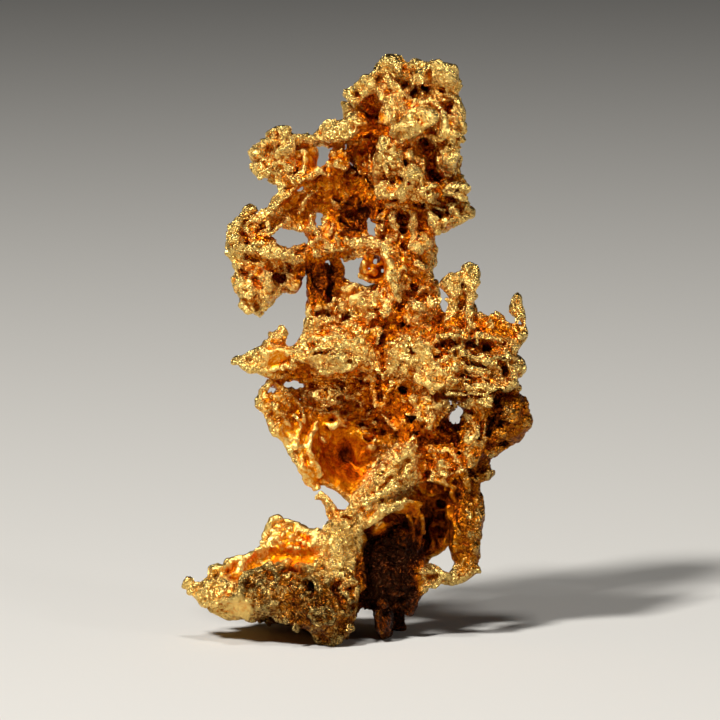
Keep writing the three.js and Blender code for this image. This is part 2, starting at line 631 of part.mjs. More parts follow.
// Foot: a boat-shaped trough that reaches out to a point on the left and carries the weight.
function foot() {
  return [
    ...leaves([
      {
        outline: [
          [-15.9, 3.5], [-14.8, 2.8], [-13.6, 2.4], [-12, 2.3], [-10.6, 2.1], [-9, 2.3],
          [-7, 1.9], [-6.1, 1.5], [-4.2, 0.9], [-2.5, 0.2], [-1.2, 0.3], [-0.8, 2.5],
          [-0.1, 3.8], [0, 5.6], [-0.4, 7.6], [-3, 7.2], [-6, 7.0], [-8.5, 7.0], [-9.2, 7.7],
          [-11, 6.3], [-12, 4.8], [-13.6, 4.0],
        ],
        bow: [
          [-15, 3, 1.4], [-12, 3.5, 3.4], [-9.4, 6, 4.6], [-9, 3.6, 5.2], [-5, 4, 6.4],
          [-5.4, 6.8, 5.0], [-2, 3, 5.8], [-2, 7, 4.2], [-0.4, 5, 4.0],
        ],
        thick: 3.6,
        crumple: 0.6,
        edge: FINE_EDGE,
      },
      {
        outline: [
          [-17.7, 6.1], [-17.2, 6.2], [-16.2, 5.9], [-15.2, 6.3], [-15, 6.9], [-14.5, 7.7],
          [-13.2, 7.9], [-12.1, 8.2], [-10.8, 8.8], [-9.8, 9.3], [-9.9, 9.8], [-9.3, 10.4],
          [-9, 11.4], [-9, 12], [-8.5, 12.2], [-7.2, 12.1], [-6.1, 11.6], [-5.6, 10.9],
          [-4.9, 11.1], [-4, 11.2], [-3.8, 10.2], [-3.4, 10.6], [-1, 10], [-1, 3], [-12, 3],
          [-15.8, 3.5], [-16.4, 4.0], [-17.3, 4.6], [-17.8, 5.5],
        ],
        bow: [
          [-17.4, 5.4, 1.0], [-15, 7, 0], [-14, 4, 2.4], [-12, 8, -0.8], [-11, 5, 1.4],
          [-7, 12, -2.0], [-7, 8, -0.6], [-3, 9, 0.2], [-6, 5, 0.6],
        ],
        thick: 1.5,
        crumple: 0.2,
        edge: FINE_EDGE,
      },
    ]),
    ...knobs([
      [-8.4, 4.6, 1.8, 4.8, 1.9, 3.4],
      [-3.2, 2.4, 3.2, 2.2, 3.0, 2.2],
      [-3.4, 3.6, 0.2, 3.4, 3.0, 3.6],
      [-12.8, 4.5, 1.2, 2.6, 1.6, 1.8],
    ]),
    // The back of the foot.
    ...knobs([
      [-4.6, 3.5, -6.2, 3.4, 3.5, 3.5],
      [-7.8, 5.0, -4.4, 4.6, 3.5, 4.2],
      [-3.2, 6.4, -4.2, 3.2, 4.0, 3.2],
      [-11.6, 5.6, -2.8, 3.4, 2.4, 2.8],
      [-7.0, 8.0, -3.8, 2.6, 3.2, 2.0],
    ]),
  ];
}

// Hollows cut back into the joined piece: pits, slots and the gaps seen right through it.
function hollows() {
  return [
    ...knobs([
      [5.6, 55.0, 1.6, 1.2, 0.8, 2.0],
      [1.4, 52.6, 1.6, 1.2, 1.8, 2.0],
      [7.5, 46.2, 2.4, 0.6, 1.3, 1.6],
      [7.6, 48.8, 2.4, 0.7, 1.6, 1.4],
      [8.4, 42.9, 2.6, 1.2, 0.5, 1.2],
      [4.1, 41.9, 1.8, 0.7, 1.1, 1.2],
      [9.6, 24.9, 3.8, 0.7, 0.7, 1.4],
      [5.4, 21.5, 2.6, 0.5, 1.1, 1.2],
      [8.8, 29.6, 3.6, 1.4, 0.6, 1.2],
      [10.9, 29.6, 3.0, 0.5, 1.2, 1.4],
      [13.7, 24.0, 2.6, 0.5, 0.9, 1.2],
      [-5.2, 5.2, 6.8, 0.9, 0.8, 1.6],
      [2.1, 12.4, 2.4, 0.8, 0.4, 0.9],
    ]),
    // Hollows in the back of the crown and of the right mass.
    ...knobs([
      [4.6, 50.4, -6.0, 1.9, 2.8, 2.4],
      [7.4, 45.4, -5.6, 1.7, 2.4, 2.2],
      [10.4, 23.8, -5.0, 2.2, 2.6, 2.6],
      [8.4, 28.8, -5.4, 2.4, 1.6, 2.4],
      [13.2, 28.4, -3.4, 2.0, 1.4, 1.8],
      [5.2, 16.6, -6.2, 2.2, 2.8, 2.2],
    ]),
    // Gap through the right mass, and the gap by the foot of the outer column.
    ...stems([
      [[9.6, 22.4, 6, 0.8], [9.7, 22.3, 0, 0.8], [9.7, 22.2, -8, 1.0]],
      [[8.7, 7.7, 6, 0.7], [8.8, 7.7, 0, 0.7], [8.8, 7.8, -8, 0.8]],
    ]),
    // Gap between the ledge and the shoulder.
    ...stems([[[-3.6, 48.3, 5, 0.7], [-3.6, 48.1, -6, 0.7]]]),
  ];
}

// ---------------------------------------------------------------------------------------------
// The piece

// Largest connected shell of a solid, without loose crumbs or the walls of sealed voids.
function outerShell(body) {
  const { vertProperties, triVerts } = body.getMesh();
  const parent = Array.from({ length: vertProperties.length / 3 }, (_, i) => i);
  const top = (i) => {
    let at = i;
    while (parent[at] !== at) at = parent[at];
    parent[i] = at;
    return at;
  };
  for (let t = 0; t < triVerts.length; t += 3) {
    parent[top(triVerts[t + 1])] = top(triVerts[t]);
    parent[top(triVerts[t + 2])] = top(triVerts[t]);
  }
  const shells = new Map();
  for (let t = 0; t < triVerts.length; t += 3) {
    const key = top(triVerts[t]);
    if (!shells.has(key)) shells.set(key, []);
    shells.get(key).push([...triVerts.slice(t, t + 3)]);
  }
  const faces = [...shells.values()].sort((one, other) => other.length - one.length)[0];
  const points = parent.map((_, i) => new THREE.Vector3().fromArray(vertProperties, 3 * i));
  return { points, faces };
}

// Sum of squared distances from a point to the planes of a vertex, each weighted by its face.
function planeError(planes, point) {
  return planes.reduce((sum, { plane, area }) => sum + area * plane.distanceToPoint(point) ** 2, 0);
}

// Every edge of a mesh with the point it would best close to and what that costs, cheapest first.
function costedEdges({ points, faces, planes }) {
  const edges = [];
  for (const face of faces) {
    face.forEach((from, k) => {
      const to = face[(k + 1) % 3];
      if (from > to) return;
      const middle = points[from].clone().lerp(points[to], 0.5);
      const both = [...planes[from], ...planes[to]];
      const spots = [middle, points[from], points[to]];
      const costs = spots.map((spot) => planeError(both, spot));
      const best = costs.indexOf(Math.min(...costs));
      const cost = costs[best] + EDGE_COST * points[from].distanceToSquared(points[to]);
      edges.push({ from, to, spot: spots[best].clone(), cost });
    });
  }
  return edges.sort((one, other) => one.cost - other.cost);
}

// Whether a face turns over when its corners listed in ends move to one spot.
function turnsOver(face, points, ends, spot) {
  const before = new THREE.Vector3();
  const after = new THREE.Vector3();
  const corners = face.map((i) => points[i]);
  const moved = face.map((i, k) => (ends.includes(i) ? spot : corners[k]));
  new THREE.Triangle(...corners).getNormal(before);
  new THREE.Triangle(...moved).getNormal(after);
  return before.dot(after) < LEAST_TURN;
}

// One round of closing edges: each edge that costs the least is drawn together to one point, if
// the surface stays closed, no face turns over and none of its neighbours has moved this round.
function closeEdges(mesh, most) {
  const { points, faces, planes } = mesh;
  const around = points.map(() => new Set());
  faces.forEach((face, f) => face.forEach((i) => around[i].add(f)));
  const neighbours = (i) => new Set([...around[i]].flatMap((f) => faces[f].filter((j) => j !== i)));
  const moved = new Set();
  let left = most;
  for (const { from, to, spot } of costedEdges(mesh)) {
    if (left <= 0) break;
    if (moved.has(from) || moved.has(to)) continue;
    const near = neighbours(from);
    const far = neighbours(to);
    const ring = new Set([...near, ...far]);
    if ([...ring].some((i) => moved.has(i))) continue;
    if ([...near].filter((i) => far.has(i)).length !== 2) continue;
    const shared = [...around[from]].filter((f) => around[to].has(f));
    const kept = [...around[from], ...around[to]].filter((f) => !shared.includes(f));
    if (kept.some((f) => turnsOver(faces[f], points, [from, to], spot))) continue;
    points[from].copy(spot);
    planes[from] = [...planes[from], ...planes[to]];
    for (const f of around[to]) faces[f] = faces[f].map((i) => (i === to ? from : i));
    for (const f of shared) faces[f] = null;
    ring.forEach((i) => moved.add(i));
    left -= 1;
  }
  mesh.faces = faces.filter((face) => face !== null);
  return most - left;
}

// Thins a shell to a number of faces, the flattest places first.
function thin({ points, faces }, target) {
  const planes = points.map(() => []);
  for (const face of faces) {
    const triangle = new THREE.Triangle(...face.map((i) => points[i]));
    const area = triangle.getArea();
    const plane = triangle.getPlane(new THREE.Plane());
    if (area > 0) face.forEach((i) => planes[i].push({ plane, area }));
  }
  const mesh = { points, faces, planes };
  let closed = 1;
  while (mesh.faces.length > target && closed > 0) {
    const most = Math.ceil((mesh.faces.length - target) / 2);
    closed = closeEdges(mesh, Math.min(most, Math.ceil(mesh.faces.length * PASS_SHARE)));
  }
  const geometry = new THREE.BufferGeometry().setFromPoints(mesh.points);
  geometry.setIndex(mesh.faces.flat());
  return geometry;
}

// Slab that takes away everything below the surface the piece rests on.
function ground() {
  const slab = new THREE.BoxGeometry(SLAB.side, SLAB.side, SLAB.deep);
  slab.translate(0, 0, -SLAB.deep / 2);
  slab.applyMatrix4(new THREE.Matrix4().makeRotationX(LEAN - Math.PI / 2));
  return solid(slab);
}

function specimen() {
  const regions = [crown, ledge, shoulder, lobe, pillars, sponge, prongs, rightMass, spur, bowl,
    folds, stand, foot];
  const grown = join(regions.flatMap((region) => region())).subtract(join(hollows()));
  const thinned = solid(thin(outerShell(grown), FACES));
  const { vertProperties, triVerts } = thinned.subtract(ground()).getMesh();
  const geometry = new THREE.BufferGeometry();
  geometry.setAttribute("position", new THREE.BufferAttribute(new Float32Array(vertProperties), 3));
  geometry.setIndex([...triVerts]);
  geometry.applyMatrix4(new THREE.Matrix4().makeRotationX(Math.PI / 2 - LEAN));
  geometry.computeBoundingBox();
  const { min, max } = geometry.boundingBox;
  geometry.translate(-(min.x + max.x) / 2, -(min.y + max.y) / 2, -min.z);
  geometry.computeVertexNormals();
  const gold = new THREE.MeshStandardMaterial({ color: 0xe0a33c, metalness: 1, roughness: 0.32 });
  gold.flatShading = true;
  const mesh = new THREE.Mesh(geometry, gold);
  mesh.name = "crystallized_gold";
  return mesh;
}

const root = new THREE.Group();
root.add(specimen());

export default root;
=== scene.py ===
"""Crystallized gold specimen on a plain pale studio floor.

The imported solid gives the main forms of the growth. This script turns it into a field of
distances to the gold, grows knobs and ridges on it and cuts pits and grooves into it, lets the
field wander, gives each region the relief of its own habit, and takes the finished skin out of
the field as meshes. A lacy growth with holes and undercuts has no two parameters that a grid
could follow, so its surface is the zero of that field. Sizes are millimetres in the display
plane (u to the right, v up, w towards the viewer) until a mesh is written, which is in metres in
the row's frame.
"""

import logging
import math
from dataclasses import dataclass, field
from enum import Enum
from functools import partial

import bpy
import numpy as np
import openvdb
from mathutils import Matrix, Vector

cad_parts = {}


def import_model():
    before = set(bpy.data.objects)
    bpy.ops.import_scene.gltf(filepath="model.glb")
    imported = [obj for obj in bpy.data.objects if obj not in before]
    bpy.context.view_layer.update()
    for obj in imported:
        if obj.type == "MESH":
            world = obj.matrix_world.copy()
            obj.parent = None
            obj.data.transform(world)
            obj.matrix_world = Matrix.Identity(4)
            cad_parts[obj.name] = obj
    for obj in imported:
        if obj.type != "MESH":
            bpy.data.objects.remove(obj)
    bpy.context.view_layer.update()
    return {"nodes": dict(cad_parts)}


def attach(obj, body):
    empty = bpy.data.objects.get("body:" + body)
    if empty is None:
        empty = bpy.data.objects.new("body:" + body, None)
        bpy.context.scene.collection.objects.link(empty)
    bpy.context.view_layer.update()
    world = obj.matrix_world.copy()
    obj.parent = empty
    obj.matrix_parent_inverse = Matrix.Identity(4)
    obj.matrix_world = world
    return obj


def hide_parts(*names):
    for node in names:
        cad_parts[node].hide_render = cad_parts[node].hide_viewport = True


LOG = logging.getLogger("specimen")
NODE = "crystallized_gold"
BODY = "root"
MM = 0.001
VOXEL = 0.145  # spacing of the field, mm
REACH = 1.5  # distance from the skin that the field knows, mm
SEED = 7
BLEND = 0.2  # width over which a stroke melts into the gold, in radii
WARP = 0.3  # how far the relief's pattern is swirled, mm
WARP_SPAN = 2.2  # length of a swirl, mm
NOTHING = -99.0  # depth of the front where there is no gold
RING = 0.35  # width of the ring of wavelengths that a wave grain keeps, as a share of the middle one
TURN_SHIFT = 3.7  # how far a turned lookup also moves along w, mm a radian
CRYSTAL = 1.5  # size of a crystal, in cells of its grain
TROUGH = 1.5  # height of a wave, in spreads, above which a fold is flat
BELL = 2.5  # reach of a smoothing bell, in spreads


def linear(hex_colour: str) -> tuple[float, float, float, float]:
    """Turns an sRGB hex colour into linear RGBA.

    Args:
        hex_colour: Colour as "#RRGGBB".

    Returns:
        Linear red, green, blue and an alpha of one.
    """
    raw = [int(hex_colour[i : i + 2], 16) / 255 for i in (1, 3, 5)]
    flat = [c / 12.92 if c <= 0.04045 else ((c + 0.055) / 1.055) ** 2.4 for c in raw]
    return (*flat, 1.0)


@dataclass(frozen=True)
class Display:
    """Plane that the specimen is shown in: it leans back from upright by a small angle.

    The shift puts the middle of the solid's box over the row's origin.
    """

    lean: float = math.radians(7)
    shift: tuple[float, float, float] = (0.356, -2.986, 0.0)

    def to_row(self, places: np.ndarray) -> np.ndarray:
        """Takes places from the display plane to the row: turned by the lean, then shifted.

        Args:
            places: Display millimetres (n, 3).

        Returns:
            Row metres (n, 3).
        """
        u, v, w = places.T
        sine, cosine = math.sin(self.lean), math.cos(self.lean)
        turned = np.stack([u, v * sine - w * cosine, v * cosine + w * sine], axis=-1)
        return (turned + self.shift) * MM

    def from_row(self, places: np.ndarray) -> np.ndarray:
        """Takes places from the row to the display plane: shifted back, then turned back.

        Args:
            places: Row metres (n, 3).

        Returns:
            Display millimetres (n, 3).
        """
        x, y, z = (places / MM - self.shift).T
        sine, cosine = math.sin(self.lean), math.cos(self.lean)
        return np.stack([x, y * sine + z * cosine, z * sine - y * cosine], axis=-1)


# ---------------------------------------------------------------------------------------------
# Noise


def along(line: np.ndarray, axis: int) -> np.ndarray:
    """A line of values, shaped to broadcast along one axis of a grid."""
    return line.reshape([-1 if axis == k else 1 for k in range(3)])


def nearest_eight(block: np.ndarray, lows: list, highs: list, shares: list) -> np.ndarray:
    """Value of a block between its cells.

    It is the average of the eight cells round a place, each weighted by its nearness along the
    three axes.

    Args:
        block: Values on a grid.
        lows: For each axis, index of the cell before each place.
        highs: For each axis, index of the cell after it.
        shares: For each axis, how far the place is on the way from the one to the other.

    Returns:
        One value for each place.
    """
    flat = block.ravel()
    total = np.zeros(len(shares[0]), np.float32)
    for corner in range(8):
        index, weight = 0, np.float32(1)
        for axis, side in enumerate(block.shape):
            far = corner >> axis & 1
            index = index * side + (highs if far else lows)[axis]
            weight = weight * (shares[axis] if far else 1 - shares[axis])
        total += weight * flat[index]
    return total


class Grain:
    """Repeating block of noise that is looked up between its cells."""

    def __init__(self, block: np.ndarray, per_wave: float) -> None:
        """Keeps the block and how many of its cells one wave takes."""
        self.block = block.astype(np.float32)
        self.per_wave = per_wave

    def at(self, places: np.ndarray, span: float, turn: float = 0.0) -> np.ndarray:
        """Looks the noise up.

        Args:
            places: Places (n, 3) in mm.
            span: Length of one wave in mm.
            turn: Angle by which the block is turned about w, so that two uses don't line up.

        Returns:
            One value for each place.
        """
        u, v, w = places.T.astype(np.float32)
        sine, cosine = math.sin(turn), math.cos(turn)
        axes = (cosine * u - sine * v, sine * u + cosine * v, w + np.float32(TURN_SHIFT * turn))
        side = self.block.shape[0]
        lows, highs, shares = [], [], []
        for axis in axes:
            cells = axis * np.float32(self.per_wave / span)
            low = np.floor(cells)
            shares.append(cells - low)
            low = low.astype(np.int32) % side
            lows.append(low)
            highs.append((low + 1) % side)
        return nearest_eight(self.block, lows, highs, shares)


def wave_grain(rng: np.random.Generator, side: int = 96, per_wave: float = 8.0) -> Grain:
    """Noise of one wavelength: white noise whose spectrum keeps only a ring, scaled to spread 1.

    Args:
        rng: Source of the white noise.
        side: Cells along each side of the block.
        per_wave: Cells that one wave takes.

    Returns:
        The noise.
    """
    white = np.fft.rfftn(rng.standard_normal((side,) * 3))
    full, half = np.fft.fftfreq(side), np.fft.rfftfreq(side)
    pitch = np.sqrt(full[:, None, None] ** 2 + full[None, :, None] ** 2 + half[None, None, :] ** 2)
    ring = np.exp(-(((pitch * per_wave - 1) / RING) ** 2))
    block = np.fft.irfftn(white * ring, (side,) * 3)
    return Grain(block / block.std(), per_wave)


def cell_grain(
    rng: np.random.Generator, faceted: bool, cells: int = 12, per_cell: int = 8
) -> Grain:
    """Noise that peaks at one random seed in each cell.

    Cobbles are one less the squared straight distance to the nearest seed. Crystals are one less
    the sum of the distances along the axes, so that each is an octahedron's tip with flat faces
    and sharp edges.

    Args:
        rng: Source of the seeds.
        faceted: Whether it makes crystals rather than cobbles.
        cells: Cells along a side of the block.
        per_cell: Grid places along a cell.

    Returns:
        The noise, up to 1.
    """
    side = cells * per_cell
    seeds = rng.random((cells, cells, cells, 3)).astype(np.float32)
    axis = (np.arange(side, dtype=np.float32) + 0.5) / per_cell
    cell = axis.astype(np.int32)
    least = np.full((side,) * 3, np.inf, np.float32)
    for step in np.ndindex(3, 3, 3):
        near = [cell + s - 1 for s in step]
        picked = seeds[np.ix_(*[n % cells for n in near])]
        gaps = [(picked[..., k] + along(near[k], k)) - along(axis, k) for k in range(3)]
        if faceted:
            least = np.minimum(least, (abs(gaps[0]) + abs(gaps[1]) + abs(gaps[2])) / CRYSTAL)
        else:
            least = np.minimum(least, gaps[0] ** 2 + gaps[1] ** 2 + gaps[2] ** 2)
    return Grain(1 - least, per_cell)


@dataclass
class Grains:
    """The blocks of noise that every relief draws on, made once in a fixed order."""

    rng: np.random.Generator
    wave: Grain = field(init=False)
    wave_b: Grain = field(init=False)
    wave_c: Grain = field(init=False)
    cobble: Grain = field(init=False)
    crystal: Grain = field(init=False)

    def __post_init__(self) -> None:
        """Makes the blocks."""
        self.wave = wave_grain(self.rng)
        self.wave_b = wave_grain(self.rng)
        self.wave_c = wave_grain(self.rng)
        self.cobble = cell_grain(self.rng, faceted=False)
        self.crystal = cell_grain(self.rng, faceted=True)

    def fold(self, places: np.ndarray, span: float, turn: float) -> np.ndarray:
        """Crumpled foil, 0 to 1: a wave's zeros are sharp ridges and its crests flat troughs."""
        return 1 - np.minimum(np.abs(self.wave.at(places, span, turn)), TROUGH) / TROUGH


def softened(block: np.ndarray, sigma: float) -> np.ndarray:
    """Averages a block with a bell, along each axis in turn.

    Args:
        block: Values over a grid.
        sigma: Spread of the bell, in cells.

    Returns:
        The averaged block.
    """
    reach = max(1, int(round(BELL * sigma)))
    steps = np.arange(-reach, reach + 1)
    bell = np.exp(-(steps**2) / (2 * sigma**2))
    bell = (bell / bell.sum()).astype(np.float32)
    for axis in range(3):
        block = sum(weight * np.roll(block, int(step), axis) for step, weight in zip(steps, bell))
    return block


def between(block: np.ndarray, at: np.ndarray) -> np.ndarray:
    """Values of a block between its cells; a place outside takes that of the edge.

    Args:
        block: Values over a grid.
        at: Places (n, 3), in cells.

    Returns:
        One value for each place.
    """
    low = np.clip(np.floor(at).astype(np.int32), 0, np.array(block.shape) - 2)
    share = np.clip(at - low, 0, 1).astype(np.float32)
    return nearest_eight(block, low.T, low.T + 1, share.T)


# ---------------------------------------------------------------------------------------------
# The field


class GrowthField:
    """Signed distance to the gold, negative inside, on a regular grid in the display plane."""

    def __init__(self, corners: np.ndarray, triangles: np.ndarray, voxel: float) -> None:
        """Measures the distances from a closed surface.

        Args:
            corners: Vertices (n, 3) in display mm.
            triangles: Their indices (m, 3).
            voxel: Spacing of the grid in mm.
        """
        self.voxel = voxel
        places = openvdb.createLinearTransform(voxelSize=voxel)
        grid = openvdb.FloatGrid.createLevelSetFromPolygons(
            corners.astype(np.float32),
            triangles=triangles.astype(np.uint32),
            transform=places,
            halfWidth=REACH / voxel,
        )
        margin = int(REACH / voxel) + 2
        self.low = np.floor(corners.min(0) / voxel).astype(int) - margin
        high = np.ceil(corners.max(0) / voxel).astype(int) + margin
        self.depth = np.zeros(high - self.low + 1, np.float32)
        grid.copyToArray(self.depth, ijk=tuple(int(k) for k in self.low))

    def axes(self, window: tuple[slice, slice, slice] | None = None) -> list[np.ndarray]:
        """Works out the coordinates along u, v and w.

        Args:
            window: Slices of the grid, or None for all of it.

        Returns:
            Three arrays in mm, shaped to broadcast over the grid or the window.
        """
        made = []
        for k, count in enumerate(self.depth.shape):
            line = (np.arange(count) + self.low[k]).astype(np.float32) * self.voxel
            made.append(along(line if window is None else line[window[k]], k))
        return made

    def band(self, reach: float) -> tuple[np.ndarray, np.ndarray]:
        """Finds the grid places near the skin.

        Args:
            reach: Distance from the skin in mm.

        Returns:
            Their flat indices, and their coordinates (n, 3) in mm.
        """
        index = np.flatnonzero(np.abs(self.depth.ravel()) < reach)
        steps = np.stack(np.unravel_index(index, self.depth.shape), axis=-1)
        return index, ((steps + self.low) * self.voxel).astype(np.float32)

    def sample(self, places: np.ndarray) -> np.ndarray:
        """Distance at any places, averaged from the eight nearest grid places."""
        return between(self.depth, places / self.voxel - self.low)

    def filled(self) -> np.ndarray:
        """Share of each grid place's cell that is gold: a half on the skin."""
        return np.clip(0.5 - self.depth / self.voxel, 0, 1)

    def wander(self, push: np.ndarray, index: np.ndarray, places: np.ndarray) -> None:
        """Moves the field sideways: each place takes the distance found a push away."""
        self.depth.ravel()[index] = self.sample(places + push)

    def front(self) -> np.ndarray:
        """Works out how near the gold comes to the viewer.

        Returns:
            Depth w of the nearest gold over each (u, v), or a far value where none is.
        """
        inside = self.depth < 0
        steps = inside.shape[2] - 1 - np.argmax(inside[:, :, ::-1], axis=2)
        return np.where(inside.any(axis=2), (steps + self.low[2]) * self.voxel, NOTHING)

    def window(self, low: np.ndarray, high: np.ndarray) -> tuple[slice, slice, slice]:
        """Finds the grid places that hold a box.

        Args:
            low: Its lowest corner in mm.
            high: Its highest corner in mm.

        Returns:
            Slices of the grid, with nothing outside it.
        """
        first = np.clip(np.floor(low / self.voxel).astype(int) - self.low, 0, None)
        last = np.clip(np.ceil(high / self.voxel).astype(int) - self.low + 1, 0, self.depth.shape)
        return tuple(slice(int(a), int(b)) for a, b in zip(first, last))

    def skin(self) -> tuple[np.ndarray, np.ndarray]:
        """Takes the surface at distance zero.

        Returns:
            Its vertices (n, 3) in display mm, and its quads (m, 4).
        """
        places = openvdb.createLinearTransform(voxelSize=self.voxel)
        grid = openvdb.FloatGrid(REACH)
        grid.transform = places
        grid.copyFromArray(self.depth, ijk=tuple(int(k) for k in self.low))
        points, quads = grid.convertToQuads(0.0)
        return points, quads.astype(np.int64)


def smooth_least(one: np.ndarray, other: np.ndarray, blend: float) -> np.ndarray:
    """Lesser of two distances, with the corner between them filled over the blend width."""
    near = np.maximum(blend - np.abs(one - other), 0) / blend
    return np.minimum(one, other) - near * near * blend / 4


# ---------------------------------------------------------------------------------------------
# What is grown on the field and cut into it


RIM = 0.34  # radius of a bright raised edge, mm
THREAD = 0.2  # radius of a thin thread or crest, mm
LEDGE = 0.28  # radius of a wavy ledge, mm
STRIPE = 0.26  # radius of a stripe on the spur, mm
SKIN_REACH = 2  # grid places round a line's place where the skin's depth is looked for
WAVER = 0.6  # height of the wave that roughens a bead, in shares of its roughness
WAVER_SPAN = 2.2  # length of that wave, in radii
WAVER_LEAST = 0.7  # least length of that wave, mm
WAVER_TURN = 1.1  # turn that keeps it out of line with the others
KNOB_ROUGH = 0.34  # share of the radius that a knob's surface wanders
PIT_ROUGH = 0.55
HOLE_ROUGH = 0.4
PULL_CORE = 0.2  # squared distance, in radii, over which a patch's pull stays about level


@dataclass(frozen=True)
class Stroke:
    """Bead drawn along places on the front of the gold, or a groove of that section cut into it.

    Its distance is that to the nearest point of its line, with depth squeezed by the stretch, so
    a stretch over one makes the section deeper than it is wide.
    """

    places: tuple[tuple[float, float], ...]  # u, v of its line; one place makes a knob or a pit
    radius: float
    rise: float = 0.0  # height of the line over the skin
    stretch: float = 1.0
    cuts: bool = False
    rough: float = 0.22  # share of the radius that its surface wanders
    level: float | None = None  # depth w of the line where it isn't the skin's

    def line(self, growth: GrowthField, front: np.ndarray) -> np.ndarray:
        """Finds the line in depth: that of the skin around each place, plus the rise.

        Args:
            growth: Field that the line lies on.
            front: Depth of its front skin over the grid.

        Returns:
            Places (n, 3) of the line.
        """
        flat = np.array(self.places, float)
        if self.level is not None:
            return np.column_stack([flat, np.full(len(flat), self.level)])
        steps = np.round(flat / growth.voxel).astype(int) - growth.low[:2]
        reach = SKIN_REACH
        steps = np.clip(steps, reach, np.array(front.shape) - reach - 1)
        spots = [(slice(i - reach, i + reach + 1), slice(j - reach, j + reach + 1)) for i, j in steps]
        near = np.array([front[spot].max() for spot in spots])
        return np.column_stack([flat, near + self.rise])

    def apply(self, growth: GrowthField, front: np.ndarray, grains: Grains) -> bool:
        """Joins the bead to the field, or takes it away.

        Args:
            growth: Field that is changed.
            front: Depth of its front skin over the grid.
            grains: Noise that roughens the bead.

        Returns:
            Whether there was gold under every place of the line.
        """
        line = self.line(growth, front)
        if line[:, 2].min() < NOTHING / 2:
            return False
        blend = BLEND * self.radius
        reach = np.array([1, 1, self.stretch]) * self.radius * (1 + 2 * self.rough)
        margin = reach + blend + growth.voxel
        window = growth.window(line.min(0) - margin, line.max(0) + margin)
        axes = growth.axes(window)
        least = None
        for start, end in zip(line[:-1], line[1:]) if len(line) > 1 else [(line[0], line[0])]:
            way = (end - start) / [1, 1, self.stretch]
            gaps = [axes[0] - start[0], axes[1] - start[1], (axes[2] - start[2]) / self.stretch]
            length = max(float(way @ way), 1e-9)
            share = np.clip(sum(gap * part for gap, part in zip(gaps, way)) / length, 0, 1)
            apart = np.sqrt(sum((gap - share * part) ** 2 for gap, part in zip(gaps, way)))
            least = apart if least is None else np.minimum(least, apart)
        places = np.stack(np.broadcast_arrays(*axes), axis=-1).reshape(-1, 3)
        span = max(WAVER_SPAN * self.radius, WAVER_LEAST)
        waver = grains.wave_b.at(places, span, WAVER_TURN).reshape(least.shape)
        bead = (least - self.radius * (1 + WAVER * self.rough * waver)).astype(np.float32)
        here = growth.depth[window]
        if self.cuts:
            growth.depth[window] = -smooth_least(-here, bead, blend)
        else:
            growth.depth[window] = smooth_least(here, bead, blend)
        return True


def pairs(line: tuple[float, ...]) -> tuple[tuple[float, float], ...]:
    """Turns u, v, u, v and so on into places (u, v)."""
    return tuple(zip(line[::2], line[1::2]))


def knob(u: float, v: float, radius: float, proud: float = 0.5) -> Stroke:
    """Lump at (u, v) that stands out of the skin by the given share of its radius."""
    return Stroke(((u, v),), radius, rise=(proud - 1) * radius, rough=KNOB_ROUGH)


def pit(u: float, v: float, radius: float, deep: float = 1.2) -> Stroke:
    """Hole at (u, v), as deep as it is given in radii."""
    return Stroke(((u, v),), radius, stretch=deep, cuts=True, rough=PIT_ROUGH)


def ridge(radius: float, proud: float, *line: float) -> Stroke:
    """Ridge along a line on the skin, standing out by the given share of its radius."""
    return Stroke(pairs(line), radius, rise=(proud - 1) * radius)


def groove(radius: float, deep: float, *line: float) -> Stroke:
    """Groove along a line on the skin, as deep as it is given in radii."""
    return Stroke(pairs(line), radius, stretch=deep, cuts=True)


def strand(radius: float, level: float, *line: float) -> Stroke:
    """Strand along a line at the given depth w, which can bridge open air."""
    return Stroke(pairs(line), radius, level=level)


def hole(u: float, v: float, radius: float, level: float, deep: float) -> Stroke:
    """Hole centred at depth w, that reaches as many radii to the front and the back as given."""
    return Stroke(((u, v),), radius, level=level, stretch=deep, cuts=True, rough=HOLE_ROUGH)


class Habit(Enum):
    """Ways that the gold has grown, each with its own relief."""

    NODULAR = "nodular"
    CRUMPLED = "crumpled"
    LEDGED = "ledged"
    STRIATED = "striated"
    SMOOTH = "smooth"
    ROUGH = "rough"


@dataclass(frozen=True)
class Patch:
    """Place where one habit rules: its pull falls with the distance in radii."""

    habit: Habit
    u: float
    v: float
    radius: float
    warmth: float = 0.4  # 0 where the gold is palest, 1 where it is deepest orange and darkest: set high on hollows and faces in shadow, it paints shade and light bounced between gold faces
    painted_shade_share: float = 0.0  # 1 where painted shade, a dark brown laid over faces in shadow, covers it
    w: float | None = None  # depth of the place, where the front and the back differ

    def pull(self, places: np.ndarray) -> np.ndarray:
        """Works out its strength: the inverse cube of the core plus the squared distance.

        Args:
            places: Places (n, 3) in display mm.

        Returns:
            Strength at each place.
        """
        off = (places[:, 0] - self.u) ** 2 + (places[:, 1] - self.v) ** 2
        if self.w is not None:
            off = off + (places[:, 2] - self.w) ** 2
        return (1 / (PULL_CORE + off / self.radius**2) ** 3).astype(np.float32)


@dataclass
class Rule:
    """Which habit rules where, how warm the gold is there, and how much painted shade covers it."""

    shares: dict[Habit, np.ndarray]
    warmth: np.ndarray
    painted_shade_share: np.ndarray

    @classmethod
    def over(cls, places: np.ndarray, patches: list[Patch]) -> "Rule":
        """Adds the patches' pulls up and makes their total one.

        Args:
            places: Places (n, 3) in display mm.
            patches: The patches of all parts.

        Returns:
            The rule over those places.
        """
        shares = {habit: np.zeros(len(places), np.float32) for habit in Habit}
        warmth, painted_shade_share, total = np.zeros((3, len(places)), np.float32)
        for patch in patches:
            pull = patch.pull(places)
            total += pull
            shares[patch.habit] += pull
            warmth += patch.warmth * pull
            painted_shade_share += patch.painted_shade_share * pull
        for share in shares.values():
            share /= total
        return cls(shares, warmth / total, painted_shade_share / total)


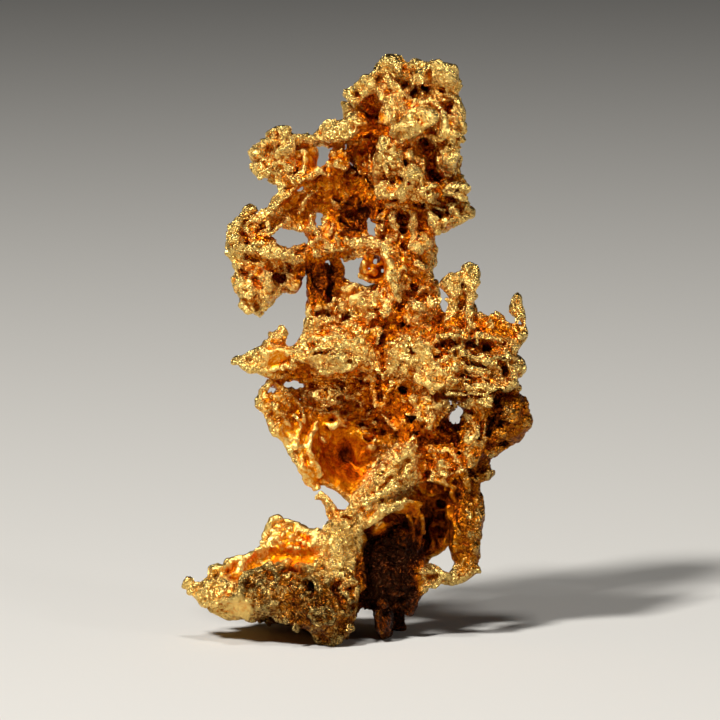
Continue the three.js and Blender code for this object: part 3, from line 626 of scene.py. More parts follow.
# Heights in mm of the layers that make each habit's relief, added in this order. Every habit has
# facets, which are the faceted ends of crystals at half the size of tips, and creases. "level" is
# the height that brings their average to about zero.
RELIEFS: dict[Habit, dict[str, float]] = {
    Habit.NODULAR: dict(stones=0.14, tips=0.2, facets=0.16, crease=0.16, pits=-0.16, level=-0.36),
    Habit.CRUMPLED: dict(ragged=0.26, tips=0.12, facets=0.14, crease=0.14, level=-0.34),
    Habit.LEDGED: dict(ledges=0.24, facets=0.16, crease=0.16, pits=-0.12, level=-0.28),
    Habit.STRIATED: dict(stripes=0.26, facets=0.08, crease=0.08, level=-0.22),
    Habit.SMOOTH: dict(facets=0.04, crease=0.04, level=-0.04),
    Habit.ROUGH: dict(middle=0.1, facets=0.16, crease=0.16, pits=-0.12, level=-0.24),
}


@dataclass(frozen=True)
class Relief:
    """Layers of noise that the habits' reliefs are made of, each with its length in mm."""

    coarse: float = 2.4  # the folds of crumpled foil
    middle: float = 1.1  # finer folds, on the crests of the coarse ones
    crease: float = 0.5  # the finest folds
    stone: float = 1.6  # cobbles
    pit: float = 0.95  # distance between pits
    pit_from: float = 0.88  # height of a cobble above which its tip becomes a pit
    tip: float = 1.25  # faceted tips of crystals
    facet: float = 0.7  # smaller tips
    calm: float = 3.2  # stretches where facets and creases stand higher or lower
    calm_level: float = 0.9
    calm_swing: float = 0.35
    ledge: tuple[float, float, float] = (0.8, 2.3, 1)  # squeeze that lays folds flat
    stripe: float = 0.9  # fine stripes
    slant: float = 0.34  # sine of their slant
    slant_rest: float = 0.94  # its cosine
    drawn: tuple[float, float, float] = (0.3, 1.8, 0.7)  # squeeze that draws them out

    def layers(self, places: np.ndarray, grains: Grains) -> dict[str, np.ndarray | float]:
        """Works the layers out.

        Ragged crests are finer folds where a coarse fold is high, ledges are folds that lie flat,
        and stripes are folds drawn out along a slant. The last number of each lookup turns its
        noise, so that no two layers line up.

        Args:
            places: Places (n, 3) in display mm.
            grains: Noise.

        Returns:
            Name to height, mostly from 0 to 1, at each place.
        """
        fold, crystal = grains.fold, grains.crystal
        waves = (grains.wave_b, grains.wave_c, grains.wave)
        places = places + WARP * np.stack([wave.at(places, WARP_SPAN, 1.3) for wave in waves], -1)
        coarse = fold(places, self.coarse, 0.3)
        middle = fold(places, self.middle, 0.9)
        crease = fold(places, self.crease, 2.1)
        calm = self.calm_level + self.calm_swing * grains.wave_c.at(places, self.calm, 2.2)
        cosine, sine = self.slant_rest, self.slant
        turn = np.array([[cosine, -sine, 0], [sine, cosine, 0], [0, 0, 1]])
        pits = np.maximum(grains.cobble.at(places, self.pit, 2.4) - self.pit_from, 0)
        return {
            "stones": grains.cobble.at(places, self.stone, 0.4),
            "ragged": coarse * (0.5 + middle * (0.6 + 0.7 * crease)),
            "ledges": fold(places * self.ledge, self.coarse, 0.1),
            "stripes": fold(places @ turn * self.drawn, self.stripe, 0.0),
            "middle": middle,
            "tips": crystal.at(places, self.tip, 0.6),
            "facets": calm * crystal.at(places, self.facet, 1.9),
            "crease": calm * crease,
            "pits": pits / (1 - self.pit_from),
            "level": 1.0,
        }

    def height(self, places: np.ndarray, rule: Rule, grains: Grains) -> np.ndarray:
        """Height of the skin's relief in mm: that of each habit, in its share.

        Args:
            places: Places (n, 3) in display mm.
            rule: The habits' shares there.
            grains: Noise.

        Returns:
            Heights in mm.
        """
        layers = self.layers(places, grains)
        return sum(
            rule.shares[habit] * sum(height * layers[name] for name, height in heights.items())
            for habit, heights in RELIEFS.items()
        )


# ---------------------------------------------------------------------------------------------
# The parts of the growth

Rows = tuple[tuple[float, ...], ...]
Habits = tuple[tuple, ...]  # a row holds what a Patch takes
Strokes = tuple[tuple, ...]  # a row starts with what makes its strokes and then holds what that takes


@dataclass(frozen=True)
class Part:
    """Stretch of the growth with its own habits and strokes, made as one mesh.

    Its numbers are millimetres, but for how proud or deep a stroke is, which is in radii, and for
    the warmth and the painted shade of a patch.
    """

    name: str = "part"
    sites: Rows = ()  # u, v: the part holds what is nearest to these
    habits: Habits = ()
    strokes: Strokes = ()

    def patches(self) -> list[Patch]:
        """Places that say which habit rules where."""
        return [Patch(*row) for row in self.habits]

    def drawn(self) -> list[Stroke]:
        """All that is grown and cut, in the order in which it is done."""
        return [make(*row) for make, *rows in self.strokes for row in rows]


@dataclass(frozen=True)
class Crown(Part):
    """Rounded nodules that crowd the top, in two masses with dark gaps between them."""

    name: str = "crown"
    sites: Rows = ((5, 55), (1, 51.5), (6, 49), (6.5, 45))
    habits: Habits = (  # pale nodules, painted orange shade in a recess on the left and a little painted shade low down
        (Habit.NODULAR, 5, 56, 3.5, 0.1), (Habit.NODULAR, 6, 51.5, 3.5, 0.15),
        (Habit.NODULAR, 4, 46.5, 2.5, 0.3, 0.1), (Habit.NODULAR, 9.5, 45, 2.5, 0.5, 0.25),
        (Habit.CRUMPLED, 1.2, 51.8, 1.6, 0.95), (Habit.SMOOTH, 8.3, 51.4, 0.7, 0.15),
    )
    strokes: Strokes = (
        # Nodules from the peak down to the ball at the front
        (knob,
            (3.2, 57.3, 1.1, 0.5), (5.4, 57.3, 0.6, 0.6), (8.2, 56.3, 1.5, 0.4), (9.4, 57, 0.5, 0.6),
            (6, 56.1, 0.6, 0.7), (0.8, 55.6, 0.9, 0.5), (-0.9, 54.5, 0.6, 0.5), (2.8, 52.4, 0.9, 1.1),
            (6.6, 52.2, 1, 0.8), (4.6, 51.2, 1.2, 0.7), (7.4, 53.4, 0.5, 0.6), (9.8, 52.8, 0.5, 0.8),
            (10.2, 51.4, 0.5, 0.8), (10.1, 50.2, 0.4, 0.7), (5.2, 48, 1, 0.8), (9, 48, 0.9, 0.6),
            (9.3, 46.6, 0.6, 0.6), (4, 45.8, 1.7, 0.4), (4.4, 44.7, 0.8, 0.6), (2.4, 45, 0.8, 0.5),
            (6.3, 46.6, 0.6, 0.7), (10.4, 45.2, 0.5, 0.7), (8.5, 41.8, 0.6, 0.5),
        ),
        # Bars and ledges between the nodules
        (ridge,
            (0.45, 0.9, 2.8, 56, 4.2, 54.2), (0.55, 0.8, 2.8, 52.6, 3.5, 54.4),
            (0.4, 1, 8.4, 52.4, 8.4, 50.6), (RIM, 0.8, 6.2, 50.4, 7.6, 50.1, 9.6, 50.5),
            (0.8, 0.6, 2.4, 49.4, 2.2, 48.2, 2.2, 46.4), (0.22, 1, 7, 45.4, 8.2, 45, 9.4, 45.3, 10.6, 45),
            (0.22, 1, 6.8, 44.6, 8, 44.3, 9.2, 44.5, 10.4, 44.1),
            (THREAD, 1, 6.9, 43.9, 8.2, 43.7, 9.4, 43.4, 10.6, 43.5),
            (THREAD, 1, 7.2, 43.2, 8.4, 43, 9.8, 42.7), (RIM, 0.7, -1.2, 54.6, 0.4, 56, 1.8, 56.6),
            (RIM, 0.8, 4.8, 54, 6.4, 53.6, 8, 54.2), (RIM, 0.7, 8.6, 54.6, 9.6, 54, 10, 53),
            (THREAD, 1, 5, 46.6, 6, 45.6, 6.6, 46.8),
            (0.3, 0.9, 2.6, 48.6, 2.4, 47.2, 2.7, 45.8, 3.8, 44.8, 5.4, 45.2),
            (0.24, 0.9, 3.3, 47.2, 4.2, 47.5, 5, 46.8, 4.9, 45.8),
        ),
        (strand, (0.55, -2, -1.3, 53.6, -1, 52.7)),
        (ridge, (THREAD, 0.9, 8.2, 48.9, 9.6, 48.7), (THREAD, 0.9, 8.3, 47.4, 9.7, 47.3)),
        # The cavity under the peak, the gaps between the masses, and pits
        (pit, (5.3, 54.9, 0.8, 2.2), (6.4, 55.1, 0.6, 2.2), (4.4, 55.4, 0.45, 2)),
        (groove,
            (0.3, 1.6, 3.9, 56.2, 4.5, 55.6, 5.8, 54.5), (0.9, 2, 1, 53.6, 1.4, 52, 2.4, 50.6),
            (0.4, 2, 3, 50.2, 5, 49.7, 6.4, 49.6), (0.4, 2, 3.6, 50.2, 3.9, 49),
            (0.5, 2.2, 6.4, 49.8, 7, 48.4, 7.2, 47.4), (0.6, 2.6, 7.2, 47.2, 7.8, 46, 8.2, 45.4),
            (0.4, 2, 7.2, 43, 8.1, 42.5),
        ),
        (pit, (8.9, 42.6, 0.4, 2)),
        (groove,
            (THREAD, 1.8, 7.2, 45, 8.6, 44.7, 10, 44.8), (THREAD, 1.8, 7, 44.2, 8.6, 44, 10, 43.8),
            (THREAD, 1.8, 7.4, 43.5, 9, 43.3, 10.2, 43.1), (0.4, 1.8, 9, 52.2, 9.3, 51),
            (0.3, 1.6, 4.7, 53.4, 5.6, 52.6, 5.8, 51.4), (0.3, 1.6, 3.5, 51.8, 4, 50.4),
            (0.3, 1.5, 7.6, 52.8, 7.7, 51.2), (0.3, 1.6, 6.9, 56.8, 7, 55.4),
            (0.3, 1.6, 4.6, 57.4, 4.9, 56.2),
        ),
        (pit,
            (3.4, 57.1, 0.3), (3.9, 57.5, 0.22), (3.1, 58, 0.2), (3.8, 55.6, 0.35, 1.8),
            (8.7, 55.8, 0.35, 1.8), (8.2, 55, 0.3, 1.8), (7.7, 57, 0.25), (9.3, 56.2, 0.25),
        ),
        (groove, (0.3, 1.5, 3.6, 46.2, 4.1, 45.8, 4.6, 46)),
        (pit, (4.7, 45.4, 0.3, 1.4)),
        (groove, (0.2, 1.6, 3, 47.2, 3.1, 45.8)),
        (pit,
            (6.7, 44.5, 0.35, 1.8), (8.3, 44.6, 0.3, 1.8), (6, 43.4, 0.35, 1.8), (5, 48.1, 0.22),
            (4.6, 51.2, 0.25), (5.3, 51.9, 0.22), (6.9, 52.5, 0.25),
        ),
    )


@dataclass(frozen=True)
class Arm(Part):
    """Left side: a bright ledge, a nodule, a thin leaning sheet and a folded lobe."""

    name: str = "arm"
    sites: Rows = ((-9, 48.5), (-3, 50.5), (-7, 43.5), (-11, 37), (-7, 37))
    habits: Habits = (  # pale ledge and lobe, and painted orange shade on the hollow side of the sheet
        (Habit.STRIATED, -2, 51.4, 1.6, 0.05), (Habit.CRUMPLED, -1, 48.8, 1.8, 0.9, 0.1),
        (Habit.NODULAR, -8.5, 48.8, 3, 0.25), (Habit.SMOOTH, -4.9, 48.1, 0.8, 0.8),
        (Habit.STRIATED, -5.5, 44.3, 1.8, 0.9, 0.15), (Habit.STRIATED, -9.5, 41.2, 1.8, 0.5),
        (Habit.ROUGH, -12.3, 39, 1.8, 0.05, 0.1), (Habit.CRUMPLED, -9, 38.6, 2, 0.3),
        (Habit.NODULAR, -10.5, 35.2, 2.4, 0.35),
    )
    strokes: Strokes = (
        # Lumps of the nodule, of the crumbs below the ledge and of the lobe
        (knob,
            (-10, 48.8, 0.9, 0.5), (-7.4, 48.6, 1, 0.7), (-7.6, 50.5, 0.8, 0.5), (-6.3, 50, 0.6, 0.6),
            (-5.2, 50, 0.6, 0.6), (-9, 47, 0.7, 0.6), (-7.4, 47.1, 0.7, 0.7), (-10, 46.6, 0.5, 0.6),
            (-7, 46.1, 0.5, 0.6), (-8.9, 49.9, 0.6, 0.6), (-2.6, 48.4, 0.45, 0.8), (-2.2, 47.6, 0.5, 0.8),
            (-1.8, 48.6, 0.35, 0.8), (-1.6, 47.1, 0.45, 0.8), (-2.9, 47.5, 0.35, 0.8),
            (-0.7, 46.8, 0.35, 0.8), (0.2, 46.9, 0.3, 0.8), (-11.2, 42.8, 0.7, 0.6), (-10.6, 42, 0.5, 0.7),
            (-12.7, 40.2, 0.8, 0.6), (-12.4, 38.7, 0.7, 0.6), (-12.2, 37.4, 0.5, 0.6),
            (-11.9, 35.8, 0.8, 0.5), (-10.8, 35, 0.6, 0.6), (-9.4, 36, 0.8, 0.5), (-11, 33.5, 0.8, 0.5),
            (-9.6, 33.7, 0.6, 0.6), (-8.6, 34.8, 0.6, 0.6), (-6.6, 35.6, 0.6, 0.6), (-6, 36.6, 0.5, 0.6),
        ),
        # Ledge, edges of the sheet, folds of the lobe and fine rays under the ledge
        (ridge,
            (0.85, 0.5, -3, 51, -1.4, 51.3, 0, 51.9),
            (RIM, 1, -4.4, 50.2, -2.8, 50.1, -1.2, 50.4, 0.4, 51.4),
            (THREAD, 1, -4, 49.7, -2.2, 49.6, 0, 49.8, 1.4, 49.7),
            (RIM, 0.9, -5.4, 49.2, -5.6, 47, -6.8, 45.4),
            (RIM, 0.9, -4.2, 47.1, -7.2, 44.6, -10, 42.2, -11.2, 40.6), (THREAD, 0.9, -4, 47, -2.8, 46.5),
            (0.3, 0.9, -4.5, 45, -5.2, 44.3, -6, 43), (THREAD, 0.9, -8.8, 42.6, -9.4, 41.4, -10.8, 40.2),
            (THREAD, 0.9, -8, 42.4, -8.6, 41.2, -9.8, 40.4),
            (0.6, 0.8, -11.4, 39.2, -9, 39.1, -7.4, 38.4, -6, 38), (THREAD, 0.9, -6.9, 38.9, -5.7, 39.6),
        ),
        (strand,
            (0.34, -0.7, -4.7, 49.8, -3.2, 49.7, -1.8, 49.6), (0.42, 0, -8.8, 41.4, -7.2, 41.5, -5.8, 41.1),
        ),
        (ridge,
            (RIM, 0.8, -11.6, 34.5, -10.4, 34.3, -9.2, 34.6), (0.14, 1, 0.6, 47.3, 0.1, 48.6),
            (0.14, 1, 1, 47.3, 0.9, 48.6), (0.14, 1, 1.3, 47.4, 1.7, 48.4),
        ),
        # Shade under the ledge, trough of the sheet and creases of the lobe
        (groove, (0.5, 1, -1.6, 49, 1.2, 48.8)),
        (hole, (-7.7, 36.1, 0.36, 0.3, 3), (-13.5, 42.1, 0.7, 0, 4)),
        (groove,
            (0.9, 0.9, -3.6, 45.8, -5, 45.2, -7, 43.2, -8.4, 42),
            (0.4, 1.6, -11, 38.2, -10.2, 37.8, -8.6, 37.7, -7.2, 37.2), (0.3, 1.5, -9.2, 47.8, -8.2, 48),
            (0.3, 1.6, -8.2, 49.8, -8.3, 48.8), (0.3, 1.6, -6.3, 49.3, -6.2, 47.8),
            (0.3, 1.5, -10.4, 47.9, -9.6, 47.6), (0.3, 1.6, -10.6, 36.2, -10.2, 35.4),
            (0.3, 1.5, -12, 37, -11.2, 36.6), (0.3, 1.6, -11.4, 40.6, -11.3, 39.8),
            (0.3, 1.5, -10.4, 34.2, -10.3, 33.2), (0.25, 1.6, -11, 42.2, -11.6, 41.2, -11.6, 40.4),
        ),
        (pit, (-8.4, 50.6, 0.25), (-7, 49.8, 0.25), (-8, 47.6, 0.22)),
    )


@dataclass(frozen=True)
class Core(Part):
    """Lacy middle: hollows and strands round the window, a pillar and a column."""

    name: str = "core"
    sites: Rows = ((-1, 47), (0, 42), (2.5, 38), (-2.5, 34), (4.5, 36))
    habits: Habits = (  # painted orange shade throughout the lacy hollows, darker painted shade in the deepest, a little paler on the column
        (Habit.ROUGH, -1.5, 45.4, 1.8, 0.85, 0.1), (Habit.CRUMPLED, 0.1, 42.2, 1.6, 1.3, 0.5),
        (Habit.SMOOTH, 1.4, 37.2, 1.2, 0.9), (Habit.NODULAR, -4.2, 39.4, 1.6, 0.6),
        (Habit.ROUGH, 3.5, 41.5, 2.4, 0.45), (Habit.NODULAR, 1, 39.4, 1.4, 0.45),
        (Habit.ROUGH, -3.8, 36, 1.8, 1.3, 0.4), (Habit.ROUGH, 0.5, 33.2, 2.4, 0.15),
        (Habit.SMOOTH, -0.6, 34.4, 0.9, 0.4), (Habit.NODULAR, 5.5, 36, 2.4, 0.4),
    )
    strokes: Strokes = (
        # Small lumps where strands meet, and on the pillar and the column
        (knob,
            (-4.8, 39.4, 0.5, 0.7), (-4, 39.9, 0.5, 0.7), (-3.2, 39.4, 0.5, 0.7), (-4.2, 38.6, 0.45, 0.7),
            (-2.4, 39.9, 0.45, 0.7), (-1.2, 35, 0.8, 0.8), (0, 33.8, 0.8, 0.6), (-1.8, 33.4, 0.6, 0.6),
            (1.6, 34.2, 0.6, 0.6), (1, 32.4, 0.7, 0.6), (2.6, 32.8, 0.6, 0.6), (3.2, 43.4, 0.6, 0.7),
            (2.2, 42.4, 0.5, 0.7), (2.4, 41, 0.5, 0.7), (5.8, 39.2, 0.7, 0.6), (4.6, 38.6, 0.6, 0.6),
            (5.9, 37.4, 0.6, 0.6), (3.4, 36.2, 0.6, 0.7), (4.4, 37, 0.5, 0.7), (6.4, 34.8, 0.6, 0.6),
            (7, 33.6, 0.5, 0.6), (5.6, 33.2, 0.6, 0.6),
        ),
        # Ring, beam, edges of the pillar and long ridges of the column
        (ridge,
            (RIM, 0.8, -4.8, 42.6, -4.9, 41.4, -4.2, 40.5, -3.2, 40.6, -2.7, 41.4, -2.9, 42.4),
            (0.5, 0.7, -1.2, 39.7, 0.8, 39.8, 2.6, 39.2), (RIM, 0.8, -2.6, 44, -2.2, 42.6, -1.9, 40.8),
            (RIM, 0.9, 1.6, 43.8, 1.5, 42.4, 2, 40.6), (THREAD, 1, -1.2, 43.2, -0.2, 42.4, 1, 42.6),
            (THREAD, 1, -1.6, 41.6, -0.3, 41.5, 0.4, 42.6), (0.4, 0.8, 3.2, 42.6, 3.3, 40.6, 2.8, 39.4),
            (0.4, 0.8, 5.2, 42.8, 5.5, 40.6, 5.2, 39.4), (0.5, 0.8, 2.5, 38.8, 3.2, 36.4, 3.8, 34),
            (THREAD, 1, -4.4, 33.1, -3, 33.3, -2.3, 34.1), (RIM, 0.7, -5, 36.6, -5, 34.2, -5.1, 32),
            (RIM, 0.7, -2.3, 37, -2, 35.4),
        ),
        (strand,
            (0.65, -1, -2.6, 38.6, -2.2, 37.2, -2, 35.6),
            (0.36, 0.3, 2.8, 38.7, 1.5, 38.5, 0.6, 37.7, 0.5, 36.9, 1.4, 37),
            (0.32, 0, 3, 36.2, 1.6, 36, 0.3, 36.3), (0.3, 0.2, 3, 37.7, 1.9, 37.7, 0.9, 37.6),
            (0.24, 0.3, 0, 39.4, 0.2, 38.4), (0.26, -0.3, 1.5, 38.6, 2.1, 37.4, 1.8, 36),
            (0.45, -0.9, -1.4, 35.2, 0.2, 35, 1.6, 35.4),
        ),
        # Deep hollows above the beam, recess and slot of the pillar, holes of the column
        (groove,
            (0.9, 0.6, -0.6, 43.6, -0.2, 42.6, 0.2, 41.4), (0.55, 1.6, -3.9, 41.8, -3.7, 41.2),
            (0.7, 0.8, -3.8, 36.6, -3.6, 34.6),
        ),
        (hole,
            (1.1, 41.6, 0.7, -2.2, 4), (1.4, 40.8, 0.65, -2.2, 4), (-4, 42.4, 0.5, -1, 5),
            (1.6, 38.1, 0.3, 0.2, 6), (2.1, 36.8, 0.28, 0.2, 6), (0.9, 37.2, 0.25, 0.2, 6),
        ),
        (groove,
            (0.4, 2.4, -4.2, 32.6, -2.6, 32.7), (0.5, 2, 4.1, 42.4, 4.3, 41),
            (0.35, 1.6, 4.2, 39.4, 4, 38, 4.6, 36.2), (0.3, 1.6, 5, 36.6, 5.6, 35.8),
        ),
        (pit, (5.3, 35.3, 0.5, 1.8), (4.5, 34.5, 0.4, 1.8), (3, 34.6, 0.3), (1.9, 33.3, 0.3, 1.8)),
    )


@dataclass(frozen=True)
class RightMass(Part):
    """Right side: two prongs over a mass of wavy ledges and a smooth striated lobe."""

    name: str = "right_mass"
    sites: Rows = ((7, 31), (12, 28), (9, 24), (14, 22), (15, 32), (11, 35))
    habits: Habits = (  # pale prong and face, shaded ledges and lobe
        (Habit.NODULAR, 10.2, 35, 2.4, 0.1), (Habit.NODULAR, 13.6, 31.8, 1.8, 0.6),
        (Habit.ROUGH, 5, 28.4, 2.6, 0), (Habit.CRUMPLED, 9.5, 29.8, 2.2, 0.5, 0.15),
        (Habit.LEDGED, 10.5, 25.8, 3, 0.3, 0.2), (Habit.ROUGH, 15, 27.6, 1.8, 0.4, 0.3),
        (Habit.STRIATED, 15, 21.2, 2.4, 0.9, 0.7), (Habit.ROUGH, 11.5, 21, 1.6, 0.35, 0.25),
        (Habit.CRUMPLED, 8.5, 20.4, 1.6, 0.9, 0.1),
    )
    strokes: Strokes = (
        # Lumps of the prongs, of the gap between them and of the mass
        (knob,
            (10.8, 37.1, 0.6, 0.5), (11.3, 36.2, 0.5, 0.6), (8.9, 35.5, 0.6, 0.5), (9.6, 36.3, 0.5, 0.6),
            (8.8, 34.2, 0.25, 0.9), (8.9, 33.2, 0.25, 0.9), (15.5, 34.1, 0.3, 0.8), (12, 32.3, 0.4, 0.7),
            (13.8, 32.3, 0.4, 0.7), (13, 31.5, 0.5, 0.7), (14.8, 31.3, 0.5, 0.7), (16, 30.4, 0.6, 0.6),
            (15.2, 29, 0.6, 0.5), (15.9, 27.6, 0.7, 0.5), (14.6, 28.4, 0.5, 0.6), (14.8, 25.4, 0.7, 0.7),
            (15.6, 25, 0.6, 0.6), (4.4, 27.2, 0.5, 0.7), (5.2, 27.9, 0.5, 0.7), (5.8, 26.2, 0.5, 0.7),
            (3.4, 28.4, 0.5, 0.6), (4.6, 29.4, 0.6, 0.6), (6.2, 29.6, 0.5, 0.7), (15, 22.2, 1.7, 0.3),
            (5.6, 24.2, 0.5, 0.6),
        ),
        # Sides of the prongs, wavy ledges, rim and stripes of the lobe, arcs below
        (ridge,
            (0.5, 0.7, 9.4, 35.2, 9.3, 33.6, 8.9, 32.2), (0.5, 0.7, 11.1, 35.6, 11, 33.4, 10.8, 31.4),
            (RIM, 0.8, 16, 34.3, 15.9, 33, 15.6, 31.6),
            (LEDGE, 1.1, 7.4, 27.8, 8.6, 28.2, 10.4, 27.4, 12, 26.8, 14, 26.2),
            (LEDGE, 1.1, 7.8, 25.4, 9, 26.2, 10.6, 26.2, 12.4, 25.4, 13.6, 25.2),
            (LEDGE, 1, 6.8, 23.2, 8, 23.6, 9.6, 23.6, 11.2, 23.8, 12.8, 24.2),
            (LEDGE, 1, 8, 28.8, 9.8, 29, 10.6, 28.4, 12.4, 27.8, 13.4, 27.6),
            (THREAD, 1, 8.6, 24.6, 10.6, 24.7, 12.4, 24.7), (THREAD, 1, 9.2, 27, 10.8, 26.8, 12.6, 26.2),
            (LEDGE, 1, 7.6, 30.4, 9, 30.6, 10.2, 30.2), (LEDGE, 1, 11.4, 30.6, 12.8, 30.2, 14.2, 29.8),
            (0.45, 0.8, 6.8, 29, 7, 27, 7, 25),
            (0.3, 0.8, 16.6, 23.6, 16.9, 22, 16, 20.5, 14.2, 19.4, 12.8, 18.5),
            (THREAD, 0.8, 16, 22, 15.2, 20.9, 13.6, 20), (THREAD, 0.8, 15.2, 22.2, 14.4, 21.4, 13.2, 20.8),
            (0.4, 0.8, 10.8, 22.6, 11.4, 21.6, 11.6, 20.4),
            (THREAD, 0.9, 6.3, 20.8, 6.8, 21.3, 7.3, 20.8, 6.8, 20.3, 6.3, 20.8),
            (RIM, 0.9, 6.6, 19.4, 8, 19.5, 9, 18.9, 9.8, 17.8),
        ),
        # Split of the prong, recesses between the ledges, notch of the lobe
        (groove,
            (0.26, 2, 10.3, 35.2, 10.1, 33.4, 9.8, 31.2), (0.34, 1.8, 7.8, 29.4, 8.6, 29.9, 9.7, 29.6),
            (0.4, 1.8, 11, 30, 11.7, 29.3, 12.8, 29.1), (0.24, 1.6, 7.6, 28.6, 8.8, 28.6, 9.6, 28.2),
            (0.22, 1.6, 13, 28.6, 13.9, 28.9, 14.4, 29.8),
            (0.22, 1.6, 9, 25.2, 10.2, 25.5, 11.4, 25.9, 12.8, 25.8), (0.5, 1.8, 14.2, 27.4, 14.5, 26.7),
            (0.3, 1.8, 8.2, 27.4, 9.2, 27.5), (0.22, 1.8, 9.9, 24.8, 11.6, 25, 13, 24.6),
            (0.3, 1.8, 8.4, 24.8, 8, 24.4, 9, 24.1), (0.3, 1.8, 11, 27.9, 12.6, 27.2),
            (0.35, 1.6, 13.2, 22.2, 12.8, 20.6), (0.4, 1.2, 8.6, 21.2, 9.2, 20.4, 9.9, 19),
        ),
        (hole, (9, 23.6, 0.45, 0.6, 5), (10, 23.2, 0.6, 0, 5)),
        (groove, (0.3, 1.6, 12.2, 21.8, 12, 20.2)),
        (pit,
            (10.8, 27.6, 0.3, 1.8), (13.6, 24, 0.4, 1.8), (14, 21.6, 0.4, 1.4), (3, 29.2, 0.3, 1.8),
            (5.2, 28.8, 0.3, 1.8), (3.8, 27, 0.25, 1.8), (4.6, 25, 0.5, 1.8), (5.2, 22, 0.6, 1.8),
            (11.7, 31.2, 0.35, 1.8),
        ),
    )


